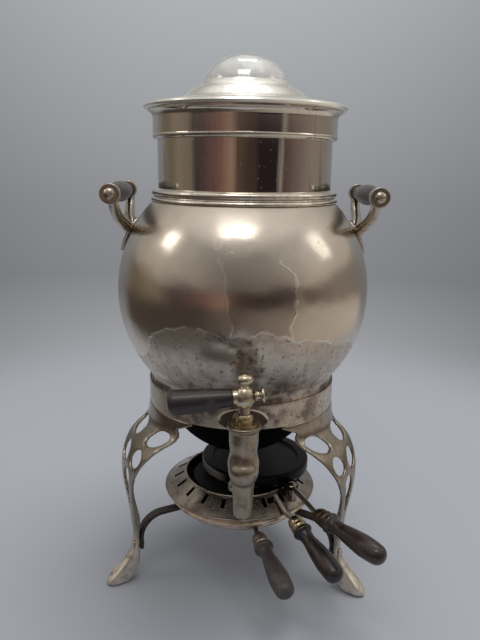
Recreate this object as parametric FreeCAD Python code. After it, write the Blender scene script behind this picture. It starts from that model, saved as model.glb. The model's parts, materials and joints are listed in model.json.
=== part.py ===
import FreeCAD, Part
import math
import os

# A nickel-plated table coffee urn: a spun globe with a tall neck and a domed lid, a lever tap,
# three pierced cast legs and a spirit burner carried between them. A pump tube with a coffee
# basket stands inside. Millimetres, +Z up, origin on the urn's axis at the floor, tap towards -Y.
# An azimuth is counted from the tap, positive towards +X.

V = FreeCAD.Vector
UP = V(0, 0, 1)
ORIGIN = V(0, 0, 0)

# Fits
SEAT = 0.05
RUN = 0.06
SLIDE = 0.3
LIFT_GAP = 0.4

# Globe, neck, band and heating bowl
SHEET = 1.0
GLOBE_RADIUS = 82.8
GLOBE_CENTRE = 197.6
WAIST_FILLET = 7.0
BAND_BOTTOM = 122.0
BAND_HEIGHT = 15.5
SKIRT_LAP = 13.2
NECK_RADIUS = 55.8
NECK_TUCK = 5.0
NECK_STEP = 293.5
NECK_STEP_RISE = 2.8
MOUTH_RADIUS = 58.6
MOUTH_TOP = 311.0
MOUTH_FLARE = 3.0
MOUTH_FLARE_RISE = 5.5
COLLAR_RISE = 4.6
COLLAR_BEAD = 2.6
COLLAR_FOOT = 3.9
BOWL_RADIUS = 52.4
BOWL_FLANGE = 9.75
BOWL_DEPTH = 38.5

# Legs
LEG_NAMES = ("left", "right", "rear")
LEG_AZIMUTHS = (-63.1, 55.9, 176.4)
LEG_THICK = 2.0
LEDGE_THICK = 2.6
LEDGE_HALF_ANGLE = 17.0
APRON_DROP = 11.5
APRON_FLARE = 2.4
SHOULDER_DROP = 17.4
SHOULDER_OUT = 10.0
KNEE_OUT = 22.1
KNEE_HEIGHT = 77.0
ANKLE_RADIUS = 81.4
ANKLE_HEIGHT = 40.0
ANKLE_THICK = 4.2
FOOT_RADIUS = 102.0
FOOT_THICK = 5.0
STRIP_HALF = 33.0
STRIP_DROP = 2.6
NOTCH_HALF = 24.4
NOTCH_DROP = 6.6
SCROLL_HALF = 26.5
SCROLL_DROP = 13.0
KNEE_HALF = 10.4
ANKLE_HALF = 3.3
FOOT_HALF = 5.3
UPPER_OVAL_LONG = 8.2
UPPER_OVAL_SHORT = 4.3
UPPER_OVAL_TILT = 14.0
LOWER_OVAL_LONG = 6.5
LOWER_OVAL_SHORT = 5.4
LOWER_OVAL_TILT = 42.0
SLIT_HALF = 4.8
SLIT_LENGTH = 26.0

# Rivets
RIVET_RADIUS = 1.5
RIVET_HEAD = 2.8
RIVET_HEAD_RISE = 1.3

# Burner cradle arms
CRADLE_TOP = 46.5
ARM_THICK = 2.2
ARM_WIDTH = 6.0
ARM_BEND = 16.5
ARM_TAB = 8.0

# Side handles
GRIP_X = 81.0
GRIP_Z = 260.5
EYE_Y = 34.0
EYE_RADIUS = 6.2
EYE_LENGTH = 5.0
PLATE_THICK = 2.3
PLATE_TOP = 244.0
PLATE_TIP = 222.0
PLATE_HALF = 10.5
ARM_ROOT_RADIUS = 4.0
ARM_END_RADIUS = 3.0
GRIP_ROD_RADIUS = 2.2
GRIP_RADIUS = 6.6
GRIP_END_RADIUS = 4.6

# Tap
TAP_RISE = 7.3
TAP_PROJECTION = 28.8
SHANK_RADIUS = 5.5
THREAD_RADIUS = 4.0
SHANK_BORE = 2.6
ROSETTE_WIDTH = 31.0
ROSETTE_HEIGHT = 14.4
ROSETTE_THICK = 1.9
BARREL_RADIUS = 8.3
BARREL_RIM = 9.4
BARREL_TOP_RISE = 9.1
BARREL_DROP = 16.0
SPOUT_RADIUS = 5.4
SPOUT_BORE = 3.9
SPOUT_TAPER = 14.0
SPOUT_DROP = 47.8
PLUG_TOP_RADIUS = 6.0
PLUG_FOOT_RADIUS = 5.0
PLUG_DROP = 9.0
STEM_RADIUS = 3.2
BONNET_RISE = 6.2
BONNET_FLANGE = 7.4
BONNET_DOME = 4.8
ELBOW_RADIUS = 8.4
ELBOW_DROP = 19.0
ELBOW_OUT = 2.6
HUB_RADIUS = 5.8
HUB_RISE = 25.4
FINIAL_RADIUS = 4.7
FINIAL_RISE = 13.6
LEVER_DROOP = 6.0
LEVER_ROD_RADIUS = 1.7
LEVER_GRIP_LENGTH = 37.0
LEVER_GRIP_ROOT = 4.9
LEVER_GRIP_RADIUS = 7.2
BUTTON_REACH = 11.6
BUTTON_RADIUS = 4.3
NUT_ACROSS = 10.8
NUT_THICK = 4.0

# Burner
RESERVOIR_RADIUS = 43.2
RESERVOIR_DROP = 6.5
BURNER_RADIUS = 53.4
BURNER_RIM_RISE = 8.0
BURNER_MOUTH = 38.0
CONE_RISE = 9.4
CONE_SHEET = 1.2
BEAD_RADIUS = 50.6
BEAD_SIZE = 1.9
SLOT_COUNT = 20
SLOT_WIDTH = 2.7
SLOT_INNER = 40.3
SLOT_OUTER = 47.0
SLOT_TURN = 2.9
CUP_RADIUS = 33.0
CUP_RISE = 14.0
GAUZE_THICK = 0.8
PACKING_GAP = 0.2
SHUTTER_GAP = 0.35
SHUTTER_FOOT = 48.4
SHUTTER_CLOSE = 5.0
SHUTTER_ROD_AZIMUTH = 32.4

# Burner handles: root of the ferrule and end of the grip, from the burner's rim and its seat
LEVER_RADIUS = 1.6
CARRY_ROOT_AZIMUTH = 13.6
CARRY_ROOT_OUT = -3.3
CARRY_ROOT_RISE = -6.5
CARRY_END_AZIMUTH = 16.1
CARRY_END_OUT = 49.2
CARRY_END_RISE = -16.5
SHUTTER_ROOT_AZIMUTH = 35.1
SHUTTER_ROOT_OUT = 6.7
SHUTTER_ROOT_RISE = 6.5
SHUTTER_END_AZIMUTH = 33.1
SHUTTER_END_OUT = 56.6
SHUTTER_END_RISE = -10.5
SNUFFER_ROOT_AZIMUTH = 36.5
SNUFFER_ROOT_OUT = 26.8
SNUFFER_ROOT_RISE = 19.5
SNUFFER_END_AZIMUTH = 37.4
SNUFFER_END_OUT = 82.0
SNUFFER_END_RISE = 15.5
FERRULE_LENGTH = 9.0
FERRULE_RADIUS = 5.0
HANDLE_RADIUS = 7.2
HANDLE_WAIST = 4.4

# Snuffer cap
SNUFFER_LAP = 0.8
SNUFFER_HEIGHT = 7.4
SNUFFER_RECESS = 1.6
PIVOT_AZIMUTH = 48.9
PIVOT_OUT = 7.4
PIVOT_RADIUS = 2.0
POST_RADIUS = 3.8
EAR_THICK = 2.0
EAR_RADIUS = 4.6
EAR_LIFT = 1.2
SNUFFER_SWING = 18.5

# Lid
LID_RADIUS = 64.2
LID_EDGE = 3.2
LID_FLANGE_RADIUS = 48.6
LID_FLANGE_RISE = 2.2
LID_STEP_RADIUS = 40.8
LID_STEP_RISE = 7.4
LID_CROWN_RISE = 4.6
LID_SKIRT = 10.0
DOME_RADIUS = 26.2
DOME_RISE = 16.8
DOME_SHOULDER = 18.9
DOME_WALL = 2.4
SLEEVE_DROP = 7.0
RETAINER_THICK = 1.0
RETAINER_LAP = 2.6

# Pump and basket
PUMP_RADIUS = 4.5
PUMP_WALL = 0.9
PUMP_RISE = 10.0
PUMP_FOOT_RADIUS = 27.0
PUMP_FOOT_RISE = 15.0
BASKET_PLAY = 3.8
BASKET_DEPTH = 36.0
BASKET_BELOW = 11.0
BASKET_COVER_RISE = 3.0
HOLE_RADIUS = 2.0
HOLE_RING_RADII = (18.0, 32.0)
HOLE_RING_COUNTS = (8, 12)
COLLET_RADIUS = 8.0
COLLET_HEIGHT = 5.0

# Sizes that follow from the ones above
BAND_RADIUS = BOWL_RADIUS + BOWL_FLANGE + SEAT + SHEET
BAND_TOP = BAND_BOTTOM + BAND_HEIGHT
BAND_INSIDE = BAND_RADIUS - SHEET
SKIRT_RADIUS = BAND_INSIDE - SEAT
NECK_INSIDE = NECK_RADIUS - SHEET
BASKET_RADIUS = NECK_INSIDE - BASKET_PLAY
LEG_TOP = BAND_BOTTOM - SEAT
SHOULDER_HEIGHT = LEG_TOP - SHOULDER_DROP
KNEE_RADIUS = BAND_RADIUS + KNEE_OUT
ANKLE_INSIDE = ANKLE_RADIUS - ANKLE_THICK
RIVET_LEDGE_RADIUS = BOWL_RADIUS + BOWL_FLANGE / 2
TAP_HEIGHT = BAND_BOTTOM + TAP_RISE
TAP_REACH = BAND_RADIUS + TAP_PROJECTION
BARREL_TOP = TAP_HEIGHT + BARREL_TOP_RISE
SPOUT_END = TAP_HEIGHT - SPOUT_DROP
HUB_HEIGHT = TAP_HEIGHT + HUB_RISE
BURNER_SEAT = CRADLE_TOP
BURNER_FLOOR = BURNER_SEAT - RESERVOIR_DROP
BURNER_RIM = BURNER_SEAT + BURNER_RIM_RISE
CONE_TOP = BURNER_RIM + CONE_RISE
CUP_TOP = BURNER_SEAT + CUP_RISE
CUP_FLANGE = BURNER_RIM - SHEET
SNUFFER_RADIUS = BURNER_MOUTH + SNUFFER_LAP
SNUFFER_FOOT = CONE_TOP + LIFT_GAP
SNUFFER_TOP = SNUFFER_FOOT + SNUFFER_HEIGHT
PIVOT_DISTANCE = SNUFFER_RADIUS + PIVOT_OUT
EAR_FOOT = SNUFFER_FOOT + EAR_LIFT
LID_FOOT = MOUTH_TOP + SEAT
LID_EDGE_TOP = LID_FOOT + LID_EDGE
LID_FLANGE_TOP = LID_EDGE_TOP + LID_FLANGE_RISE
LID_STEP_TOP = LID_FLANGE_TOP + LID_STEP_RISE
LID_TOP = LID_STEP_TOP + LID_CROWN_RISE
SLEEVE_FOOT = LID_TOP - SLEEVE_DROP
DOME_TOP = LID_TOP + DOME_RISE
BASKET_TOP = MOUTH_TOP - BASKET_BELOW
BASKET_FLOOR = BASKET_TOP - BASKET_DEPTH
PUMP_TOP = MOUTH_TOP + PUMP_RISE


def ring_height(radius, sphere=GLOBE_RADIUS):
    """Height of the upper half of the globe, or of a sphere about its centre, at a radius."""
    return GLOBE_CENTRE + math.sqrt(sphere ** 2 - radius ** 2)


def polar(azimuth, radius, height):
    angle = math.radians(azimuth)
    return V(radius * math.sin(angle), -radius * math.cos(angle), height)


def bend(start, through, end):
    """Arc edge; one whose full circle would cross the axis off its centre is drawn as a spline."""
    arc = Part.Arc(start, through, end).toShape()
    if arc.Curve.Radius > abs(arc.Curve.Center.x) > 1e-6:
        return spline(arc.discretize(9))
    return arc


def outline(start, *steps):
    """Closed face in the XZ plane from (radius, height) points; a pair of points is an arc."""
    first = V(start[0], 0, start[1])
    here = first
    edges = []
    for step in steps:
        if isinstance(step[0], tuple):
            through, end = (V(point[0], 0, point[1]) for point in step)
            edges.append(bend(here, through, end))
        else:
            end = V(step[0], 0, step[1])
            edges.append(Part.LineSegment(here, end).toShape())
        here = end
    if not here.isEqual(first, 1e-6):
        edges.append(Part.LineSegment(here, first).toShape())
    return Part.Face(Part.Wire(edges))


def lathe(start, *steps):
    return outline(start, *steps).revolve(ORIGIN, UP, 360)


def dome(edge, tip):
    """Arc from a point of an outline to the axis: part of a sphere centred on the axis."""
    radius, height = edge
    rise = tip - height
    sphere = (radius ** 2 + rise ** 2) / (2 * rise)
    reach = math.copysign(math.sqrt(sphere ** 2 - (radius / 2) ** 2), rise)
    return ((radius / 2, tip - sphere + reach), (0, tip))


def tube(outside, inside, foot, top):
    return lathe((inside, foot), (outside, foot), (outside, top), (inside, top))


def rod(start, end, radius):
    return Part.makeCylinder(radius, (end - start).Length, start, end - start)


def lay(shape, start, end):
    """Put a shape modelled up the Z axis from the origin along the line from start to end."""
    placed = shape.copy()
    placed.Placement = FreeCAD.Placement(start, FreeCAD.Rotation(UP, end - start))
    return placed


def about(shape, azimuth):
    """Turn a shape modelled along +X to an azimuth."""
    turned = shape.copy()
    turned.rotate(ORIGIN, UP, azimuth - 90)
    return turned


def moved(shape, offset):
    shifted = shape.copy()
    shifted.translate(offset)
    return shifted


def bent_rod(points, radius):
    """A round rod through points, with a ball at each bend."""
    pieces = [rod(start, end, radius) for start, end in zip(points, points[1:])]
    balls = [Part.makeSphere(radius, point) for point in points[1:-1]]
    return pieces[0].multiFuse(pieces[1:] + balls).removeSplitter()


def spline(points):
    curve = Part.BSplineCurve()
    curve.interpolate(points)
    return curve.toShape()


def oval(centre, half_long, half_short, tilt):
    """Ellipse face in the YZ plane, at (across, height), its long axis tilted from level."""
    ring = Part.Ellipse(ORIGIN, half_long, half_short).toShape()
    ring.rotate(ORIGIN, UP, tilt)
    ring.rotate(ORIGIN, V(1, 1, 1), 120)
    ring.translate(V(0, centre[0], centre[1]))
    return Part.Face(Part.Wire([ring]))


def rivet(grip):
    """Rivet up the Z axis: its grip starts at the origin, with a domed head on each end."""
    return lathe(
        (RIVET_RADIUS, 0),
        (RIVET_RADIUS, grip),
        (RIVET_HEAD, grip),
        dome((RIVET_HEAD, grip), grip + RIVET_HEAD_RISE),
        (0, -RIVET_HEAD_RISE),
        (dome((RIVET_HEAD, 0), -RIVET_HEAD_RISE)[0], (RIVET_HEAD, 0)),
    )


def waist(offset):
    """Where a skin at an offset out from the globe's leaves the sphere, bends and ends above the skirt."""
    fillet_radius = SKIRT_RADIUS + WAIST_FILLET
    reach = GLOBE_RADIUS + WAIST_FILLET
    fillet_height = GLOBE_CENTRE - math.sqrt(reach ** 2 - fillet_radius ** 2)
    lean = math.atan2(GLOBE_CENTRE - fillet_height, fillet_radius)
    middle = math.pi - lean / 2
    sphere = GLOBE_RADIUS + offset
    fillet = WAIST_FILLET - offset
    touch = (sphere * math.cos(lean), GLOBE_CENTRE - sphere * math.sin(lean))
    turn = (fillet_radius + fillet * math.cos(middle), fillet_height + fillet * math.sin(middle))
    return touch, turn, (fillet_radius - fillet, fillet_height)


def waist_room():
    """What the globe's waist and lower half take up, with the seat round them."""
    touch, turn, end = waist(SEAT)
    sphere = GLOBE_RADIUS + SEAT
    low = (touch[0] + sphere) / 2
    bulge = (low, GLOBE_CENTRE - math.sqrt(sphere ** 2 - low ** 2))
    return lathe(
        (0, end[1]),
        end,
        (turn, touch),
        (bulge, (sphere, GLOBE_CENTRE)),
        (0, GLOBE_CENTRE),
    )


def globe():
    """Spun globe with its mouth under the collar and a short skirt down inside the band."""
    foot = BAND_TOP - SKIRT_LAP
    mouth = NECK_RADIUS + SEAT
    outer_touch, outer_bend, outer_end = waist(0)
    inner = GLOBE_RADIUS - SHEET
    inner_touch, inner_bend, inner_end = waist(-SHEET)
    return lathe(
        (mouth, ring_height(mouth)),
        ((GLOBE_RADIUS, GLOBE_CENTRE), outer_touch),
        (outer_bend, outer_end),
        (SKIRT_RADIUS, foot),
        (SKIRT_RADIUS - SHEET, foot),
        inner_end,
        (inner_bend, inner_touch),
        ((inner, GLOBE_CENTRE), (mouth, ring_height(mouth, inner))),
    ).cut(tap_hole())


def neck():
    """Neck tube with a stepped-out mouth that flares to the lid's seat."""
    foot = ring_height(NECK_RADIUS) - NECK_TUCK
    step_top = NECK_STEP + NECK_STEP_RISE
    flare = MOUTH_TOP - MOUTH_FLARE_RISE
    rim = MOUTH_RADIUS + MOUTH_FLARE
    bulge = MOUTH_FLARE * 0.3
    return lathe(
        (NECK_RADIUS, foot),
        (NECK_RADIUS, NECK_STEP),
        ((MOUTH_RADIUS, NECK_STEP + NECK_STEP_RISE * 0.3), (MOUTH_RADIUS, step_top)),
        (MOUTH_RADIUS, flare),
        ((MOUTH_RADIUS + bulge, flare + MOUTH_FLARE_RISE * 0.55), (rim, MOUTH_TOP - SHEET)),
        (rim, MOUTH_TOP),
        (rim - SHEET, MOUTH_TOP),
        ((MOUTH_RADIUS - SHEET + bulge, flare + MOUTH_FLARE_RISE * 0.6), (MOUTH_RADIUS - SHEET, flare)),
        (MOUTH_RADIUS - SHEET, step_top + SHEET),
        (NECK_INSIDE, NECK_STEP + SHEET),
        (NECK_INSIDE, foot),
    )


def neck_collar():
    """Double-beaded ring over the joint of neck and globe, resting on the globe's shoulder."""
    inside = NECK_RADIUS + SEAT
    foot = inside + COLLAR_FOOT
    skin = GLOBE_RADIUS + SEAT
    middle = (inside + foot) / 2
    valley = (inside + COLLAR_BEAD * 0.6, ring_height(inside, skin) - COLLAR_BEAD * 0.35)
    top = ring_height(inside, skin) + COLLAR_RISE
    return lathe(
        (inside, ring_height(inside, skin)),
        ((middle, ring_height(middle, skin)), (foot, ring_height(foot, skin))),
        ((foot - 0.2, valley[1] - 0.2), valley),
        ((inside + COLLAR_BEAD, (valley[1] + top) / 2), (inside, top)),
    )


def base_band():
    """Plain ring round the skirt, cut back inside where the globe's waist flares out over it."""
    band = tube(BAND_RADIUS, BAND_INSIDE, BAND_BOTTOM, BAND_TOP)
    return band.cut(waist_room()).cut(tap_hole())


def heating_bowl():
    """Dished vessel bottom: a spherical bowl hung by its flange inside the foot of the band."""
    flange_top = BAND_BOTTOM + SHEET
    sphere = (BOWL_RADIUS ** 2 + BOWL_DEPTH ** 2) / (2 * BOWL_DEPTH)
    centre = BAND_BOTTOM - BOWL_DEPTH + sphere
    inner = sphere - SHEET

    def wall(radius, reach):
        return (radius, centre - math.sqrt(reach ** 2 - radius ** 2))

    inner_rim = math.sqrt(inner ** 2 - (centre - flange_top) ** 2)
    bowl = lathe(
        (0, centre - sphere),
        (wall(BOWL_RADIUS * 0.6, sphere), (BOWL_RADIUS, BAND_BOTTOM)),
        (BAND_INSIDE - SEAT, BAND_BOTTOM),
        (BAND_INSIDE - SEAT, flange_top),
        (inner_rim, flange_top),
        (wall(inner_rim * 0.6, inner), (0, centre - inner)),
    )
    return bowl.cut(Part.makeCompound(list(ledge_rivet_holes())))


def ledge_rivet_places():
    half = LEDGE_HALF_ANGLE * 0.65
    for azimuth in LEG_AZIMUTHS:
        for side in (-half, half):
            yield polar(azimuth + side, RIVET_LEDGE_RADIUS, LEG_TOP - LEDGE_THICK)


def ledge_rivet_holes():
    for place in ledge_rivet_places():
        yield Part.makeCylinder(RIVET_RADIUS + SEAT, LEDGE_THICK + 4 * SHEET, place - UP * SHEET)


def leg_rivets():
    grip = LEDGE_THICK + 2 * SEAT + SHEET
    return Part.makeCompound([moved(rivet(grip), place) for place in ledge_rivet_places()])


def inset(points, depths):
    """Points of a falling curve in the XZ plane, each moved square to it towards the axis."""
    inner = []
    for index, (point, depth) in enumerate(zip(points, depths)):
        along = points[min(index + 1, len(points) - 1)] - points[max(index - 1, 0)]
        along.normalize()
        inner.append(point + V(0, 1, 0).cross(along) * depth)
    return inner


def leg_section():
    """Leg's section in a radial plane: apron, shoulder, bowed knee, straight ankle, spoon foot."""
    flat_top = ANKLE_HEIGHT + 6
    flat_foot = CRADLE_TOP - ARM_BEND - ARM_TAB - 2
    toe = V(FOOT_RADIUS, 0, FOOT_THICK * 0.3)
    heel = V(FOOT_RADIUS - 3 * FOOT_THICK, 0, 0)
    thigh = BAND_RADIUS + SHOULDER_OUT * 0.38 + KNEE_OUT * 0.62
    upper = [
        V(BAND_RADIUS, 0, LEG_TOP),
        V(BAND_RADIUS + APRON_FLARE * 0.4, 0, LEG_TOP - APRON_DROP * 0.55),
        V(BAND_RADIUS + APRON_FLARE, 0, LEG_TOP - APRON_DROP),
        V(BAND_RADIUS + SHOULDER_OUT, 0, SHOULDER_HEIGHT),
        V(thigh, 0, SHOULDER_HEIGHT * 0.69 + KNEE_HEIGHT * 0.31),
        V(KNEE_RADIUS, 0, KNEE_HEIGHT),
        V((KNEE_RADIUS + ANKLE_RADIUS) / 2, 0, (KNEE_HEIGHT + ANKLE_HEIGHT) / 2),
        V(ANKLE_RADIUS, 0, ANKLE_HEIGHT),
    ]
    lower = [
        V(ANKLE_RADIUS * 0.97 + FOOT_RADIUS * 0.03, 0, ANKLE_HEIGHT * 0.63),
        V(ANKLE_RADIUS * 0.42 + FOOT_RADIUS * 0.58, 0, FOOT_THICK * 2.1),
        toe,
    ]
    calf = (LEG_THICK + ANKLE_THICK) / 2
    inside = inset(upper, [LEG_THICK] * 6 + [calf, ANKLE_THICK])
    ledge_foot = V(BAND_RADIUS - LEG_THICK, 0, LEG_TOP - LEDGE_THICK)
    arch = V(ANKLE_RADIUS - 0.3 * FOOT_THICK, 0, FOOT_THICK * 1.6)
    edges = [
        spline(upper + lower),
        Part.makeLine(toe, V(FOOT_RADIUS, 0, 0)),
        Part.makeLine(V(FOOT_RADIUS, 0, 0), heel),
        spline([heel, arch, V(ANKLE_INSIDE, 0, flat_foot)]),
        Part.makeLine(V(ANKLE_INSIDE, 0, flat_foot), V(ANKLE_INSIDE, 0, flat_top)),
        spline([V(ANKLE_INSIDE, 0, flat_top)] + inside[6:0:-1] + [ledge_foot]),
        Part.makeLine(ledge_foot, ledge_foot + UP * LEDGE_THICK),
        Part.makeLine(ledge_foot + UP * LEDGE_THICK, upper[0]),
    ]
    return Part.Face(Part.Wire(edges))


def leg_front():
    """Leg's outline seen along its radius: a strip under the band, a scrolled wing, a slim ankle."""
    top = LEG_TOP + SHEET
    strip = [(STRIP_HALF, top), (STRIP_HALF, LEG_TOP - STRIP_DROP), (NOTCH_HALF, LEG_TOP - NOTCH_DROP)]
    curve = [
        strip[-1],
        (SCROLL_HALF, LEG_TOP - SCROLL_DROP),
        (SCROLL_HALF * 0.9, SHOULDER_HEIGHT - 2),
        ((SCROLL_HALF + KNEE_HALF) / 2, SHOULDER_HEIGHT * 0.58 + KNEE_HEIGHT * 0.42),
        (KNEE_HALF, KNEE_HEIGHT),
        (KNEE_HALF * 0.35 + ANKLE_HALF * 0.65, KNEE_HEIGHT * 0.62 + ANKLE_HEIGHT * 0.38),
        (ANKLE_HALF, ANKLE_HEIGHT),
        (ANKLE_HALF * 1.15, ANKLE_HEIGHT * 0.55),
        (FOOT_HALF, FOOT_THICK),
        (FOOT_HALF, -SHEET),
    ]
    edges = []
    for side in (-1, 1):
        edges += Part.makePolygon([V(0, side * across, height) for across, height in strip]).Edges
        edges.append(spline([V(0, side * across, height) for across, height in curve]))
    for across, height in (strip[0], curve[-1]):
        edges.append(Part.makeLine(V(0, -across, height), V(0, across, height)))
    return Part.Face(Part.Wire(Part.sortEdges(edges)[0]))


def leg_piercings():
    """Faces of the openings: a slanted oval and a rounder one in each wing, and a long slit between."""
    upper = (SCROLL_HALF * 0.54, LEG_TOP - SCROLL_DROP - 2.6)
    lower = (SCROLL_HALF * 0.325, SHOULDER_HEIGHT * 0.58 + KNEE_HEIGHT * 0.42 - 0.4)
    faces = []
    for side in (-1, 1):
        centre = (side * upper[0], upper[1])
        faces.append(oval(centre, UPPER_OVAL_LONG, UPPER_OVAL_SHORT, side * UPPER_OVAL_TILT))
        centre = (side * lower[0], lower[1])
        faces.append(oval(centre, LOWER_OVAL_LONG, LOWER_OVAL_SHORT, side * LOWER_OVAL_TILT))
    slit_top = KNEE_HEIGHT + 6.5
    shoulder = slit_top - SLIT_HALF
    slit_foot = slit_top - SLIT_LENGTH
    tip = SLIT_HALF * 0.15
    slit = Part.Wire([
        Part.Arc(V(0, -SLIT_HALF, shoulder), V(0, 0, slit_top), V(0, SLIT_HALF, shoulder)).toShape(),
        Part.makeLine(V(0, SLIT_HALF, shoulder), V(0, tip, slit_foot)),
        Part.makeLine(V(0, tip, slit_foot), V(0, -tip, slit_foot)),
        Part.makeLine(V(0, -tip, slit_foot), V(0, -SLIT_HALF, shoulder)),
    ])
    return faces + [Part.Face(slit)]


def leg():
    """One pierced cast leg along +X, with the ledge that is riveted under the band."""
    sweep = 2 * math.degrees(math.asin(STRIP_HALF / BAND_RADIUS)) + 10
    body = leg_section().revolve(ORIGIN, UP, sweep)
    body.rotate(ORIGIN, UP, -sweep / 2)
    through = V(FOOT_RADIUS + KNEE_OUT, 0, 0)
    body = body.common(leg_front().extrude(through))
    toe = FOOT_RADIUS - FOOT_HALF * 1.3
    tall = UP * (LEG_TOP + 2 * SHEET)
    plan = Part.makeBox(toe, 4 * STRIP_HALF, tall.z, V(0, -2 * STRIP_HALF, -SHEET))
    tip = Part.Ellipse(V(toe, 0, -SHEET), FOOT_HALF * 1.3, FOOT_HALF).toShape()
    plan = plan.fuse(Part.Face(Part.Wire([tip])).extrude(tall))
    body = body.common(plan)
    openings = [face.extrude(through) for face in leg_piercings()]
    body = body.cut(Part.makeCompound(openings))
    ledge = outline(
        (BOWL_RADIUS + 2, LEG_TOP - LEDGE_THICK),
        (BAND_RADIUS - LEG_THICK * 0.2, LEG_TOP - LEDGE_THICK),
        (BAND_RADIUS - LEG_THICK * 0.2, LEG_TOP),
        (BOWL_RADIUS + 2, LEG_TOP),
    ).revolve(ORIGIN, UP, 2 * LEDGE_HALF_ANGLE)
    ledge.rotate(ORIGIN, UP, -LEDGE_HALF_ANGLE)
    return body.fuse(ledge).removeSplitter()


def legs():
    holes = Part.makeCompound(list(ledge_rivet_holes()) + [about(arm_rivet_hole(), a) for a in LEG_AZIMUTHS])
    blank = leg()
    return {"leg_" + name: about(blank, azimuth).cut(holes) for name, azimuth in zip(LEG_NAMES, LEG_AZIMUTHS)}


def arm_rivet_height():
    return CRADLE_TOP - ARM_BEND - ARM_TAB / 2


def arm_face():
    """Radius of the flat tab's outer face, its edges just clear of the hollow of the ankle."""
    return math.sqrt((ANKLE_INSIDE - SEAT) ** 2 - ARM_WIDTH ** 2 / 4)


def arm_rivet_grip():
    return ARM_THICK + ANKLE_THICK + 0.5


def arm_rivet_hole():
    """Hole through tab and ankle, with a flat spot face for the rivet's outer head."""
    start = V(arm_face() - ARM_THICK, 0, arm_rivet_height())
    seat = start + V(arm_rivet_grip(), 0, 0)
    hole = Part.makeCylinder(RIVET_RADIUS + SEAT, 2 * arm_rivet_grip(), start - V(2, 0, 0), V(1, 0, 0))
    return hole.fuse(Part.makeCylinder(RIVET_HEAD + SEAT, ANKLE_THICK, seat, V(1, 0, 0)))


def cradle_arm():
    """Arched strip along +X from the pad under the burner to the tab on the leg's ankle."""
    outside = arm_face()
    inside = outside - ARM_THICK
    bend_height = CRADLE_TOP - ARM_BEND
    bend_radius = outside - ARM_BEND
    small = ARM_BEND - ARM_THICK
    half = math.sqrt(0.5)
    strip = outline(
        (outside, bend_height - ARM_TAB),
        (outside, bend_height),
        ((bend_radius + ARM_BEND * half, bend_height + ARM_BEND * half), (bend_radius, CRADLE_TOP)),
        (RESERVOIR_RADIUS + SLIDE, CRADLE_TOP),
        (RESERVOIR_RADIUS + SLIDE, CRADLE_TOP - ARM_THICK),
        (bend_radius, CRADLE_TOP - ARM_THICK),
        ((bend_radius + small * half, bend_height + small * half), (inside, bend_height)),
        (inside, bend_height - ARM_TAB),
    )
    arm = strip.extrude(V(0, ARM_WIDTH, 0))
    arm.translate(V(0, -ARM_WIDTH / 2, 0))
    return arm.cut(arm_rivet_hole())


def arm_rivet():
    """Rivet through the tab and the ankle of one leg."""
    start = V(arm_face() - ARM_THICK, 0, arm_rivet_height())
    return lay(rivet(arm_rivet_grip()), start, start + V(1, 0, 0))


def side_bracket():
    """Cast bracket on the +X side: a leaf plate on the globe and two arms to the grip's eyes."""
    skin = GLOBE_RADIUS + SEAT
    middle = (PLATE_TOP + PLATE_TIP) / 2 + 2
    waist = PLATE_HALF * 0.75
    leaf = Part.Face(Part.Wire([
        Part.Arc(V(0, -2.5, PLATE_TIP + 1.5), V(0, 0, PLATE_TIP), V(0, 2.5, PLATE_TIP + 1.5)).toShape(),
        Part.Arc(V(0, 2.5, PLATE_TIP + 1.5), V(0, waist, middle - 5), V(0, PLATE_HALF, middle)).toShape(),
        Part.Arc(V(0, PLATE_HALF, middle), V(0, 0, PLATE_TOP), V(0, -PLATE_HALF, middle)).toShape(),
        Part.Arc(V(0, -PLATE_HALF, middle), V(0, -waist, middle - 5), V(0, -2.5, PLATE_TIP + 1.5)).toShape(),
    ])).extrude(V(2 * GLOBE_RADIUS, 0, 0))
    centre = V(0, 0, GLOBE_CENTRE)
    inner = Part.makeSphere(skin, centre)
    plate = Part.makeSphere(skin + PLATE_THICK, centre).common(leaf).cut(inner)
    bracket = plate
    root_height = middle + 1
    root_radius = math.sqrt(skin ** 2 - (root_height - GLOBE_CENTRE) ** 2)
    for side in (-1, 1):
        root = V(root_radius, side * PLATE_HALF * 0.45, root_height)
        eye = V(GRIP_X, side * EYE_Y, GRIP_Z)
        under_eye = eye - V(1.5, 0, EYE_RADIUS * 0.7)
        path = [
            root,
            root * 0.62 + under_eye * 0.38 + V(1.6, 0, -1.0),
            root * 0.2 + under_eye * 0.8 + V(0.6, 0, -2.6),
            under_eye,
        ]
        sections = []
        for index, point in enumerate(path):
            before = path[max(index - 1, 0)]
            after = path[min(index + 1, len(path) - 1)]
            share = index / (len(path) - 1)
            radius = ARM_ROOT_RADIUS * (1 - share) + ARM_END_RADIUS * share
            circle = Part.Circle(point, after - before, radius).toShape()
            sections.append(Part.Wire([circle]))
        arm = Part.makeLoft(sections, True)
        ring = Part.makeCylinder(EYE_RADIUS, EYE_LENGTH, eye - V(0, EYE_LENGTH / 2, 0), V(0, 1, 0))
        bracket = bracket.fuse(arm.cut(inner)).fuse(ring)
    bore = Part.makeCylinder(GRIP_ROD_RADIUS + SEAT, 4 * EYE_Y, V(GRIP_X, -2 * EYE_Y, GRIP_Z), V(0, 1, 0))
    inside = EYE_Y - EYE_LENGTH / 2
    clear = Part.makeCylinder(GRIP_END_RADIUS + SLIDE, 2 * inside, V(GRIP_X, -inside, GRIP_Z), V(0, 1, 0))
    return bracket.cut(bore).cut(clear).removeSplitter()


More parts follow.
